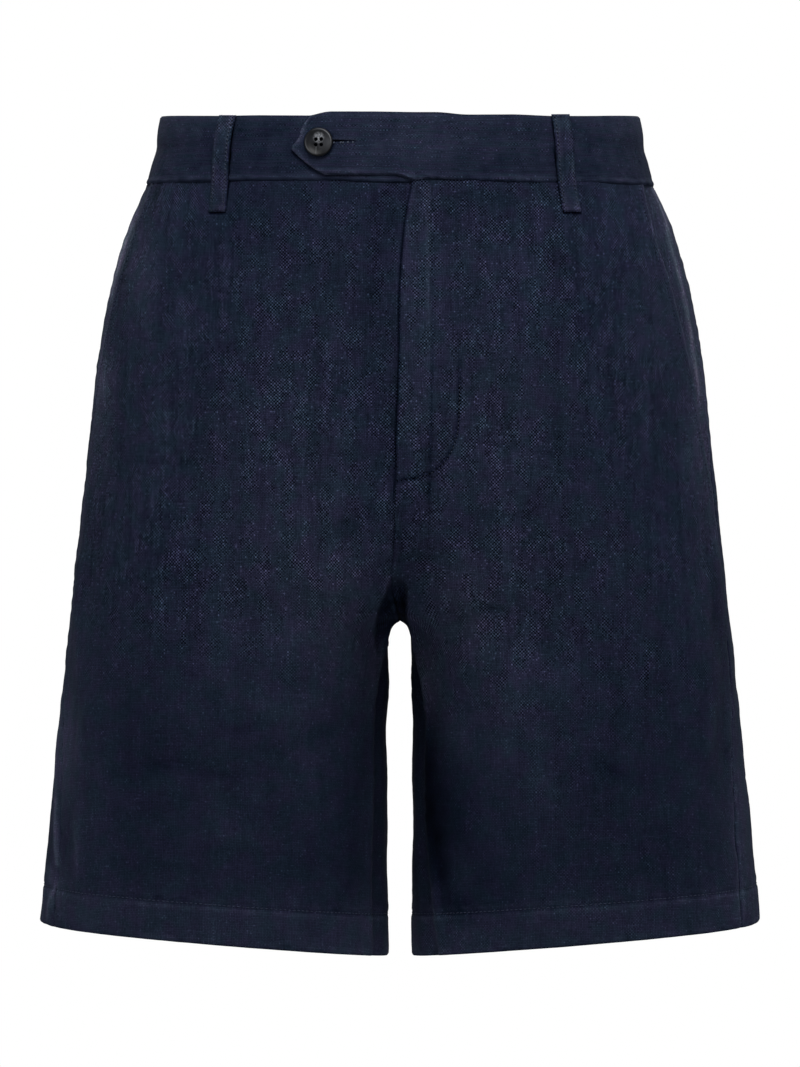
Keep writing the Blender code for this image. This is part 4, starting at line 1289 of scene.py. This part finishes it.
fronts = {}
for side, label, seed in ((1, "left", 100), (-1, "right", 200)):
    cloth = front_cloth(side)
    cloth.soften_fork(cloth.from_start)
    level = cloth.level
    pocket, fly = above(level, POCKET_END[side]), above(level, FLY_END)
    rounding = folded_edges(cloth, (cloth.from_end, pocket), (cloth.from_start, fly),
                            (cloth.from_foot, 1.0))
    cloth.shape(front_lift(cloth, seed) - rounding, panel_wall(cloth) - rounding,
                cloth.from_start + fly)
    wear_and_painted_light = seam_wear(cloth, (cloth.from_end, 0.9), (cloth.from_start, 0.4 - 0.2 * fly),
                     (cloth.from_foot, 0.8), (np.abs(level - HEM - HEM_HEIGHT), 0.5))
    # Along the pocket's folded edge a pale line, partly worn fold and partly painted highlight.
    mouth = ease((level + 0.150) / 0.030) * ease((-0.030 - level) / 0.020) * pocket
    wear_and_painted_light += 1.3 * mouth * bump(cloth.from_end - 0.0006, 0.0011)
    wear_and_painted_light += crease_wear(cloth) + hem_wear(cloth) + leg_fade(cloth) + fly_wear(cloth)
    wear_and_painted_light += sun_wear(cloth) - inner_shade(cloth, 0.60 if side > 0 else 0.50)
    wear_and_painted_light -= 1.1 * under_loops(cloth)
    piece = cloth.sew(f"front_{label}_linen", LINEN, wear_and_painted_light, leg_rubbed(cloth))
    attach(piece, "root")
    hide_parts(f"front_{label}")
    fronts[side] = cloth

for side, label in ((1, "left"), (-1, "right")):
    cloth = fronts[side]
    pocket_down = np.linspace(WAIST_SEAM - 0.001, POCKET_END[side] + 0.003, 150)
    hem = cloth.across(HEM + HEM_HEIGHT, 0.004, 0.996)
    stitch(f"front_hem_stitching_{label}", [hem], length=0.0021, radius=0.00027, seed=11,
           thread=WORN_THREAD)
    pocket = cloth.down_edge(pocket_down, 0.0062, "end")
    stitch(f"pocket_edge_stitching_{label}", [pocket], seed=12)
    needle_holes(f"pocket_edge_holes_{label}", [pocket], radius=0.00022, seed=12)
    needle_holes(f"front_hem_holes_{label}", [hem], radius=0.00022, seed=11)
fly_line = fronts[1].through(*smooth_line(FLY_STITCH["x"], FLY_STITCH["z"]))
bend = 96                       # the step of the line at which the J starts to bend
lower = [part[bend:] for part in fly_line]
stitch("fly_stitching", [[part[:bend + 1] for part in fly_line]], length=0.0015, seed=13)
stitch("fly_bend_stitching", [lower], pitch=0.0024, length=0.0014, seed=14, thread=PALE_THREAD)
needle_holes("fly_holes", [lower], pitch=0.0024, radius=0.00042, seed=14)

# ---- Backs --------------------------------------------------------------------------------
# Two back panels of the same linen, fuller over the seat and longer in the rise.  They are
# joined to the fronts down the sides and inside the legs, and to each other at the middle.
def back_cloth(side):
    """A back from the side seam to the seam at the middle and inside the leg."""
    level = panel_levels()
    start = seam_at("side", side, level)
    return Cloth(side, *panel_grid(start, np.ones(level.shape), level, 0.290 / CELL))


def back_lift(cloth, seed):
    """How far the back stands off the body; inside the leg it tucks in behind the front."""
    lift = panel_lift(cloth, seed) + seam_edge(cloth, cloth.from_start, seed + 7)
    on_leg = ease((CROTCH - 0.012 - cloth.level) / 0.02)
    lift += -0.0040 * on_leg * bump(cloth.from_end - 0.008, 0.007)
    return lift + seam_edge(cloth, cloth.from_end, seed + 8)


for side, label, seed in ((1, "left", 300), (-1, "right", 400)):
    cloth = back_cloth(side)
    cloth.soften_fork(cloth.from_end)
    rounding = folded_edges(cloth, (cloth.from_foot, 1.0))
    cloth.shape(back_lift(cloth, seed) - rounding, panel_wall(cloth) - rounding,
                cloth.from_end)
    wear_and_painted_light = seam_wear(cloth, (cloth.from_end, 0.7), (cloth.from_start, 0.8),
                     (cloth.from_foot, 0.8), (np.abs(cloth.level - HEM - HEM_HEIGHT), 0.5))
    wear_and_painted_light += crease_wear(cloth) + hem_wear(cloth) + leg_fade(cloth) + sun_wear(cloth)
    # Inside the backs' legs a little painted light, painted shade in the hollow and under the
    # loops.
    wear_and_painted_light -= inner_shade(cloth, -0.10) + 1.1 * under_loops(cloth)
    piece = cloth.sew(f"back_{label}_linen", LINEN, wear_and_painted_light, leg_rubbed(cloth))
    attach(piece, "root")
    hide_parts(f"back_{label}")
    hem = cloth.across(HEM + HEM_HEIGHT, 0.004, 0.996)
    stitch(f"back_hem_stitching_{label}", [hem], seed=21)

# ---- Pocket facings -----------------------------------------------------------------------
# The strip of linen that shows in each slanted pocket mouth, sewn into the side seam and
# the waist seam and tucked under the front's folded edge.
UNDER_FRONT = 0.075             # how far round it runs on under the front
for side, label, seed in ((1, "left", 500), (-1, "right", 600)):
    level = panel_levels()
    level = level[level > POCKET_END[side] - 0.001]
    level = level[1 - len(level) % 2:]
    edge, seam = seam_at("pocket", side, level), seam_at("side", side, level)
    cloth = Cloth(side, *panel_grid(edge - UNDER_FRONT, seam, level, 0.060 / CELL))
    open_width = np.maximum(seam - edge, 1e-4)[:, None]
    rise = ease((cloth.around - edge[:, None]) / open_width)
    rise = rise * np.clip(open_width / 0.06, 0.0, 1.0)
    lift = (CLOTH + SEAM_GAP) * (rise - 1) + rise * seam_edge(cloth, cloth.from_end, seed)
    lift += rise * (washed(cloth.world, seed) * 0.6
                    + seam_edge(cloth, under_band(cloth), seed, 0.5))
    cloth.shape(lift, CLOTH)
    wear_and_painted_light = 0.45 + seam_wear(cloth, (cloth.from_end, 0.8)) + sun_wear(cloth)
    # Painted highlight in near-white streaks just inside the hip's outline, stronger on the
    # right.
    inside = read(TORSO, "half_width", cloth.level) - cloth.points[..., 0]
    highlight_inset = 0.0008 + 0.0045 * ease((-0.030 - cloth.level) / 0.035) if side > 0 else 0.0010
    low_end = ease((cloth.level + (0.165 if side > 0 else 0.105)) / 0.030)
    high_end = 1.0 if side > 0 else ease((-0.030 - cloth.level) / 0.020)
    streaks = ripple(cloth.world * np.array([1.0, 1.0, 0.3]), 0.005, seed)
    streaky = np.clip(0.9 + 0.4 * streaks, 0.2, 1.5)
    strength = 3.8 + 3.8 * (side < 0) * bump(cloth.level + 0.066, 0.020)
    wear_and_painted_light += strength * bump(inside - highlight_inset, 0.0015) * low_end * high_end * streaky
    piece = cloth.sew(f"pocket_facing_{label}_linen", LINEN, wear_and_painted_light, 0.6)
    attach(piece, "root")
    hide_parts(f"pocket_facing_{label}")

# ---- Waistband ----------------------------------------------------------------------------
# A doubled band of linen in two halves, joined at the middle of the back.  The wearer's left
# half runs on past the middle of the front as a tab with a pointed end, which buttons over
# the right half.  Its edges are folded in.
BAND_CLOTH = 0.0022             # thickness of its folded layers
BAND_PROUD = 0.0009             # how far its outer face stands off the body,
TAB_PROUD = 0.0030              # and the tab's
HOLE_ENDS = (-0.0520, -0.0262)  # the buttonhole in the tab, from x to x
HOLE_LEVEL = 0.0040
BUTTON_RADIUS = 0.0085
BUTTON_PLACE = (-0.0471, 0.0030)    # x and height


def tab_end(share):
    """The pointed end of the tab, softly rounded: x at a share of the band's height."""
    reach = np.linspace(-0.035, 0.035, 9)
    outline = [np.interp(share + step, [0.0, 0.05, 0.15, 0.27, 0.43, 0.46, 0.62, 0.84, 1.0],
                         [-0.0430, -0.0483, -0.0530, -0.0583, -0.0638, -0.0638, -0.0592, -0.0572,
                          -0.0525]) for step in reach]
    return np.mean(outline, axis=0)


def band_cloth(side):
    """Half of the band, from its front end to the middle of the back, finer at the front."""
    share = np.linspace(1.0, 0.0, 37)
    level = WAIST_SEAM + 0.0001 + (WAIST_TOP - WAIST_SEAM - 0.0001) * share
    end_x = tab_end(share) if side > 0 else np.full(share.shape, -0.010)
    fine_end = np.full(share.shape, -0.72)
    front, _ = panel_grid(x_to_around(end_x, level), fine_end, level, 120)
    rest, _ = panel_grid(fine_end, np.ones(share.shape), level, 400)
    around = np.concatenate([front, rest[:, 1:]], axis=1)
    levels = np.broadcast_to(level[:, None], around.shape).copy()
    x = np.where(around < 0, surface(side, around, levels)[..., 0], 1.0)
    upper = share[:, None]
    levels -= (1 - upper) * seam_drop(side, around, x)
    if side < 0:
        levels += 0.0006 * upper * ease((0.110 - x) / 0.030)
    if side > 0:
        levels += (1 - upper) * (0.0023 * ease((0.007 - x) / 0.011)
                                 - 0.0012 * bump(x - 0.0085, 0.004))
        levels += upper * (0.0013 * ease((0.040 - x) / 0.020)
                           + 0.0004 * ease((0.012 - x) / 0.030)
                           + 0.0012 * ease((0.095 - x) / 0.030)
                           - 0.0027 * ease((-0.040 - x) / 0.016))
    cloth = Cloth(side, around, levels)
    cloth.share, cloth.x = np.broadcast_to(upper, around.shape), x
    return cloth


bands = {}
for side, label, seed in ((1, "left", 700), (-1, "right", 800)):
    cloth = band_cloth(side)
    lift = np.full(cloth.around.shape, BAND_PROUD)
    tab = ease((0.046 - cloth.x) / 0.022) if side > 0 else np.zeros(lift.shape)
    lift += (TAB_PROUD - BAND_PROUD) * tab
    low, high = cloth.from_foot, cloth.from_top
    at_side = ease((0.62 - np.abs(cloth.around - 0.05)) / 0.25)
    lift += -0.0011 * bump(cloth.share - 0.52, 0.15) * at_side
    lift += 0.00028 * bump(low - 0.0016, 0.0012) - 0.00022 * bump(low - 0.0038, 0.0012)
    lift += washed(cloth.world, seed) * 0.7
    lift += cloth.pucker(low, cloth.from_start, seed + 4, 0.00012, length=0.007, reach=0.006)
    lift += cloth.pucker(high, cloth.from_start, seed + 5, 0.00010, length=0.009, reach=0.006)
    lift += -0.0008 * np.clip(1 - cloth.from_end / 0.002, 0.0, 1.0) ** 2
    lift -= 0.0005 * ease((0.30 - np.abs(cloth.around)) / 0.15) * bump(low, 0.005)
    frayed = bump(cloth.from_start - 0.0015, 0.0012) * ripple(cloth.world, 0.003, seed + 9)
    lift += 0.00030 * tab * frayed
    rounding = folded_edges(cloth, (low, 1.0), (high, 1.0), (cloth.from_start, 1.0))
    cloth.shape(lift - rounding, BAND_CLOTH - 0.0003 * tab - 1.6 * rounding)
    wear_and_painted_light = seam_wear(cloth, (low, 0.7), (high, 0.45), (cloth.from_start, 1.0)) + 0.10 * tab
    wear_and_painted_light += at_side * (0.35 * ease((cloth.share - 0.62) / 0.2)
                       - 0.30 * bump(cloth.share - 0.42, 0.16))
    wear_and_painted_light += sun_wear(cloth) - 1.1 * under_loops(cloth)
    wear_and_painted_light += 0.13 * ripple(cloth.world, 0.013, seed + 6)
    wear_and_painted_light += 0.08 * ripple(cloth.world, 0.006, seed + 7)
    worn = np.clip(0.85 + 0.55 * ripple(cloth.world, 0.0028, seed + 8), 0.1, 1.6)
    if side > 0:
        from_button = np.hypot(cloth.x - BUTTON_PLACE[0], cloth.level - BUTTON_PLACE[1])
        # Painted shadow in a ring round the button.
        wear_and_painted_light -= 1.1 * ease((BUTTON_RADIUS + 0.0010 - from_button) / 0.0009)
        # Round the buttonhole: paler lips, and painted shade along the slit itself.
        beside = ease((cloth.x - HOLE_ENDS[0]) / 0.001)
        beside = beside * ease((HOLE_ENDS[1] + 0.001 - cloth.x) / 0.002)
        from_hole = np.abs(cloth.level - HOLE_LEVEL)
        wear_and_painted_light += beside * (0.30 * bump(from_hole - 0.0017, 0.0007)
                          - 0.60 * bump(from_hole, 0.0008))
    wear_and_painted_light += tab * worn * (0.75 * bump(low, 0.0007) + 0.55 * bump(low - 0.0006, 0.0009))
    wear_and_painted_light += tab * worn * (1.60 * bump(cloth.from_start, 0.0007)
                          + 1.50 * bump(cloth.from_start - 0.0007, 0.0011))
    if side < 0:
        past_tip = tab_end(cloth.share) + cloth.x
        # Painted light below the tab's lower edge to lift its cast shadow, painted shadow along
        # its tip.
        wear_and_painted_light += 0.50 * ease((0.17 - cloth.share) / 0.06) * ease((0.062 - cloth.x) / 0.008)
        wear_and_painted_light -= 0.45 * ease(1 - past_tip / 0.0009)
    piece = cloth.sew(f"waistband_{label}_linen", LINEN, wear_and_painted_light, 0.30, weave_turned=True)
    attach(piece, "root")
    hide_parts(f"waistband_{label}")
    bands[side] = cloth

# ---- Buttonhole ---------------------------------------------------------------------------
# A worked slit in the tab: close thread bars along its upper lip, a few loose knots along
# its lower lip, and the dark opening between them.  Its outer end is under the button.
tab, steps = bands[1], 60
inwards = np.linspace(0.0, 1.0, steps)
hole_x = np.linspace(*HOLE_ENDS, steps)
lips = []
for offset in (0.0013, -0.0013):
    height = HOLE_LEVEL + offset * (1 - 0.45 * inwards ** 3)
    row = np.interp(-height, -tab.level[:, 20], np.arange(len(tab.level)))
    column = np.interp(hole_x, tab.outer[18, :120, 0], np.arange(120))
    lips.append(tab.at(row, column))
stitch("buttonhole_lips", lips[:1], pitch=0.00048, length=0.0012, radius=0.00019, slant=1.50,
       seed=41)
worn_runs = ((30, 40), (42, 56))    # the steps of the lower lip where its thread has come loose
knots = [(lips[1][0][first:last], lips[1][1][first:last]) for first, last in worn_runs]
stitch("buttonhole_knots", knots, pitch=0.0027, length=0.0015, radius=0.00060, slant=0.90,
       seed=42, thread=PALE_THREAD)
centre = [(lips[0][k] + lips[1][k]) / 2 for k in (0, 1)]
down = lips[1][0] - lips[0][0]
down /= np.linalg.norm(down, axis=-1, keepdims=True)
open_share = np.sin(np.linspace(0.15, math.pi - 0.05, steps))[:, None] ** 0.5
open_share *= np.linspace(1.4, 0.10, steps)[:, None]
upper_rim = centre[0] + centre[1] * 0.00026 - down * 0.00085 * open_share
lower_rim = centre[0] + centre[1] * 0.00026 + down * 0.00075 * open_share
sunk = centre[1] * 0.0006
places = np.concatenate([upper_rim, lower_rim, upper_rim - sunk, lower_rim - sunk])
last = steps - 1                # four long walls, then the two ends
walls = [[i + corner for corner in wall] for wall in (
    (0, steps, steps + 1, 1), (2 * steps, 2 * steps + 1, 3 * steps + 1, 3 * steps),
    (0, 1, 2 * steps + 1, 2 * steps), (steps, 3 * steps, 3 * steps + 1, steps + 1))
    for i in range(last)]
walls += [[0, 2 * steps, 3 * steps, steps],
          [last, last + steps, last + 3 * steps, last + 2 * steps]]
# The slit's opening is a sunken sheet of the near-black seam_shadow material: painted shadow.
mesh = bpy.data.meshes.new("buttonhole_slit")
mesh.from_pydata(places.tolist(), [], walls)
mesh.materials.append(SHADOW)
slit = place_object("buttonhole_slit", mesh)
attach(slit, "root")

# ---- Belt loops ---------------------------------------------------------------------------
# Five narrow loops of folded linen, stitched down both edges and tacked at the top of the
# band and again below the waist seam.
LOOP_CLOTH = 0.0016
LOOP_TACKS = (0.0178, -0.0368)
LOOP_SHAPE = table(
    "level   under",
    (LOOP_TOP, 0.0013),
    (0.0150,  0.0022),
    (0.0050,  0.0032),
    (-0.0070, 0.0030),
    (-0.0160, 0.0021),
    (-0.0230, 0.0014),
    (-0.0320, 0.0008),
    (-0.0380, 0.0004),
    (LOOP_END, 0.0004))
for seed, (label, (side, *_, width)) in enumerate(LOOPS.items(), start=900):
    level = np.linspace(LOOP_TOP - (0.0009 if label == "front_right" else 0.0002), LOOP_END, 81)
    middle = loop_middle(label, level)
    reach = surface(side, middle + 0.01, level) - surface(side, middle - 0.01, level)
    half_turn = width / 2 * 0.02 / np.linalg.norm(reach, axis=-1)
    cloth = Cloth(side, *panel_grid(middle - half_turn, middle + half_turn, level, 20))
    under = np.broadcast_to(read(LOOP_SHAPE, "under", level)[:, None], cloth.around.shape)
    edge = np.minimum(cloth.from_start, cloth.from_end)
    tack = sum(bump(cloth.level - height, 0.0009) for height in LOOP_TACKS)
    lift = under + LOOP_CLOTH - 0.00022 * bump(edge - 0.0019, 0.0005) - 0.00035 * tack
    lift += 0.00020 * bump(cloth.from_foot - 0.0015, 0.0012)
    lift += 0.00012 * ripple(cloth.world, 0.006, seed)
    rounding = folded_edges(cloth, (edge, 1.0), (cloth.from_foot, 1.0), (cloth.from_top, 1.0))
    cloth.shape(lift - rounding, LOOP_CLOTH - 1.3 * rounding)
    wear_and_painted_light = 0.12 + 0.45 * ease((cloth.level - 0.005) / 0.008)
    wear_and_painted_light = wear_and_painted_light + 0.8 * seam_wear(cloth, (edge, 0.7), (cloth.from_foot, 0.8))
    # Painted shade along the loop's side edges and on its whole inner face, for the gap under it.
    wear_and_painted_light -= 0.5 * (edge < 0.0003)
    piece = cloth.sew(f"belt_loop_{label}_linen", LINEN, wear_and_painted_light, 0.7, inner_face_shade=-1.3)
    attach(piece, "root")
    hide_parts(f"belt_loop_{label}")
    top, foot = 0.0195, -0.0395
    sides = [cloth.down_edge(np.linspace(top, foot, 60), 0.0017, "start"),
             cloth.down_edge(np.linspace(-0.0130, foot, 30), 0.0019, "end")]
    faint = cloth.down_edge(np.linspace(top, -0.0120, 30), 0.0019, "end")
    stitch(f"belt_loop_stitching_{label}", sides, pitch=0.0024, length=0.0017, slant=0.75,
           radius=0.00024, seed=seed, thread=PALE_THREAD)
    stitch(f"belt_loop_second_row_{label}", [faint], length=0.0015, seed=seed)
    needle_holes(f"belt_loop_holes_{label}", sides, pitch=0.0024, seed=seed)
    tacks = [cloth.across(height, 0.12, 0.88) for height in LOOP_TACKS]
    stitch(f"belt_loop_tacks_{label}", tacks, pitch=0.0007, length=0.0016, radius=0.00013,
           slant=1.20, seed=seed)

# ---- Button -------------------------------------------------------------------------------
# A four-hole button turned from dark horn-like plastic, with painted highlights on its raised
# rim, pushed through the tab's buttonhole.  The dark bundle of sewing thread under it is the
# shank that holds it to the right half of the band; its colour is painted shadow.
HOLE_RADIUS, HOLE_DISTANCE = 0.00116, 0.00230
SHANK_RADIUS, SHANK_LENGTH, SHANK_LEVEL = 0.0036, 0.0020, -0.0008


def button_material():
    """Dark clouded turned plastic, a pale scratch, painted highlights, painted shade at its edge.
    """
    material, tree, shader = new_material("horn_with_painted_highlights", specular=0.20)
    face = node(tree, "ShaderNodeUVMap", uv_map="face").outputs[0]
    flat = node(tree, "ShaderNodeSeparateXYZ", {0: face})
    radius = calc(tree, "SQRT", calc(tree, "ADD", calc(tree, "POWER", flat.outputs[0], 2.0),
                                     calc(tree, "POWER", flat.outputs[1], 2.0)))

    def near(x, y, reach):
        """1 at a place on the button's face and 0 from a reach away."""
        away = node(tree, "ShaderNodeVectorMath", {0: face, 1: (x, y, 0.0)},
                    operation="DISTANCE").outputs["Value"]
        return spread(tree, away, 0.0, reach, 1.0, 0.0)

    spots = spread(tree, noise(tree, face, 650.0, 4.0), 0.35, 0.55)
    # A painted glint round the upper holes.
    upper = calc(tree, "MULTIPLY", spread(tree, near(0.0002, 0.0026, 0.0042), 0.10, 0.65), spots)
    # Painted highlights: thin lit arcs on the rim, at the upper right and the lower left.
    rim = calc(tree, "SUBTRACT", 1.0, calc(tree, "ABSOLUTE", calc(
        tree, "DIVIDE", calc(tree, "SUBTRACT", radius, 0.0076), 0.0006)))
    lit = calc(tree, "MULTIPLY", near(0.0050, 0.0040, 0.0095), 0.60)
    lit = calc(tree, "MAXIMUM", lit, calc(tree, "MULTIPLY", near(-0.0058, -0.0042, 0.0070), 0.45))
    rim = calc(tree, "MULTIPLY", spread(tree, rim, 0.0, 1.0), lit)
    scratch = spread(tree, calc(tree, "ABSOLUTE", calc(
        tree, "ADD", flat.outputs[0], 0.0014)), 0.0001, 0.00035, 1.0, 0.0)
    short = spread(tree, near(-0.0013, -0.0050, 0.0032), 0.1, 0.4)
    scratch = calc(tree, "MULTIPLY", scratch, short)
    pale = calc(tree, "MAXIMUM", calc(tree, "MAXIMUM", upper, rim),
                calc(tree, "MULTIPLY", scratch, 0.3))
    # A painted highlight on the right of the face.
    pale = calc(tree, "MAXIMUM", pale, calc(tree, "MULTIPLY", near(0.0060, 0.0, 0.0080), 0.15))
    cloudy = spread(tree, noise(tree, face, 260.0, 3.0), 0.3, 0.7)
    colour = blend_colours(tree, cloudy, (0.0046, 0.0052, 0.0072), (0.0115, 0.0126, 0.0165))
    colour = blend_colours(tree, pale, colour, (0.2400, 0.2500, 0.2750))
    # Painted shade: a dark ring at the edge, and the lower side darker.
    edge = spread(tree, radius, 0.0078, 0.0082, 1.0, 0.05)
    edge = calc(tree, "MULTIPLY", edge, spread(tree, flat.outputs[1], -0.0060, 0.0010, 0.55, 1.0))
    tree.links.new(times(tree, colour, edge), shader.inputs["Base Color"])
    turned = calc(tree, "SINE", calc(tree, "MULTIPLY", radius, 2 * math.pi / 0.00025))
    marks = calc(tree, "MULTIPLY_ADD", turned, 0.15, noise(tree, face, 1500.0, 3.0))
    roughened(tree, shader, marks, 0.25, 0.00006)
    tree.links.new(spread(tree, pale, 0.0, 1.0, 0.42, 0.60), shader.inputs["Roughness"])
    return material


x, level = (np.array([value]) for value in BUTTON_PLACE)
around = x_to_around(x, level)
button_out = Vector(outward(1, around, level)[0])
seat = Vector(surface(1, around, level)[0])
button_centre = seat + button_out * (TAB_PROUD + 0.0006)
button_turn = button_out.to_track_quat("Z", "Y").to_matrix().to_4x4()
button_place = Matrix.Translation(button_centre) @ button_turn

profile = [(0.0, 0.00130), (0.0040, 0.00140), (0.0056, 0.00165), (0.0064, 0.00200),
           (0.0070, 0.00235), (0.0075, 0.00252), (0.0079, 0.00245), (0.0082, 0.00222),
           (0.0084, 0.00190), (0.0085, 0.00150), (0.0085, 0.00110), (0.0082, 0.00060),
           (0.0074, 0.00020), (0.0060, 0.0), (0.0, 0.0)]
soup = bmesh.new()
ring = [soup.verts.new((radius, 0.0, height)) for radius, height in profile]
outline = [soup.edges.new(pair) for pair in zip(ring, ring[1:])]
bmesh.ops.spin(soup, geom=ring + outline, cent=(0, 0, 0), axis=(0, 0, 1),
               angle=2 * math.pi, steps=96, use_merge=True)
bmesh.ops.remove_doubles(soup, verts=soup.verts, dist=1e-6)
bmesh.ops.recalc_face_normals(soup, faces=soup.faces)
mesh = bpy.data.meshes.new("button_blank")
soup.to_mesh(mesh)
soup.free()
blank = place_object("button_blank", mesh)
cutters = []
for number in range(4):
    turn = math.radians(45 + 90 * number)
    bpy.ops.mesh.primitive_cylinder_add(
        vertices=28, radius=HOLE_RADIUS, depth=0.01,
        location=(HOLE_DISTANCE * math.cos(turn), HOLE_DISTANCE * math.sin(turn), 0.0))
    cutters.append(bpy.context.object)
    cut = blank.modifiers.new(f"hole_{number}", "BOOLEAN")
    cut.object, cut.operation, cut.solver = cutters[-1], "DIFFERENCE", "EXACT"
soften = blank.modifiers.new("soft_edges", "BEVEL")
soften.width, soften.segments, soften.limit_method = 0.00012, 2, "ANGLE"
soften.angle_limit = math.radians(50)
made = bpy.data.meshes.new_from_object(blank.evaluated_get(bpy.context.evaluated_depsgraph_get()))
for helper in [blank] + cutters:
    bpy.data.objects.remove(helper)
made.name = "horn_button"
face_map = made.uv_layers.new(name="face")
for corner in made.loops:
    face_map.data[corner.index].uv = made.vertices[corner.vertex_index].co[:2]
made.materials.clear()
made.materials.append(button_material())
made.transform(button_place)
made.shade_smooth()
made.set_sharp_from_angle(angle=math.radians(50))
button = place_object("horn_button", made)
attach(button, "root")
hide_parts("button")

bpy.ops.mesh.primitive_cylinder_add(vertices=40, radius=SHANK_RADIUS, depth=SHANK_LENGTH)
shank = bpy.context.object
shank.name = shank.data.name = "button_shank"
shank.data.transform(button_place @ Matrix.Translation((0.0, 0.0, SHANK_LEVEL)))
# The shank takes the near-black painted-shadow material.
shank.data.materials.append(SHADOW)
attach(shank, "root")

# ---- Floor and light ----------------------------------------------------------------------
# A wide pale floor a metre below the waist and a white surround that lights the cloth only
# faintly, with a large soft light high in front, a weaker one on each side and two behind.
FLOOR_LEVEL = -1.02
bpy.ops.mesh.primitive_circle_add(vertices=128, radius=4.0, fill_type="NGON",
                                  location=(0.0, 0.0, FLOOR_LEVEL))
floor = bpy.context.object
floor.name = "floor"
floor_material, _, shader = new_material("pale_floor", roughness=0.9)
shader.inputs["Base Color"].default_value = (0.92, 0.92, 0.92, 1.0)
floor.data.materials.append(floor_material)

world = bpy.data.worlds.new("studio")
world.use_nodes = True
tree = world.node_tree
ray = node(tree, "ShaderNodeLightPath").outputs["Is Camera Ray"]
surround = tree.nodes["Background"]
surround.inputs["Color"].default_value = (1.0, 1.0, 1.0, 1.0)
tree.links.new(spread(tree, ray, 0.0, 1.0, 0.20, 1.0), surround.inputs["Strength"])
bpy.context.scene.world = world
bpy.context.scene.view_settings.view_transform = "Standard"

# each lamp: where it stands, how wide it is, and its power
LIGHTS = {"key": ((0.05, -0.95, 1.05), 1.1, 20.6),
          "left": ((-2.1, -0.7, 0.5), 1.2, 6.5), "right": ((2.1, -0.7, 0.5), 1.2, 7.4),
          "back_left": ((-0.9, 2.2, 1.1), 1.2, 20.0), "back_right": ((0.9, 2.2, 1.1), 1.2, 20.0)}
for name, (place, size, power) in LIGHTS.items():
    light = bpy.data.lights.new(name, "AREA")
    light.shape, light.size, light.energy = "DISK", size, power
    lamp = place_object(name, light)
    lamp.location = place
    aim = Vector((0.0, 0.0, -0.15)) - Vector(place)
    lamp.rotation_euler = aim.to_track_quat("-Z", "Y").to_euler()
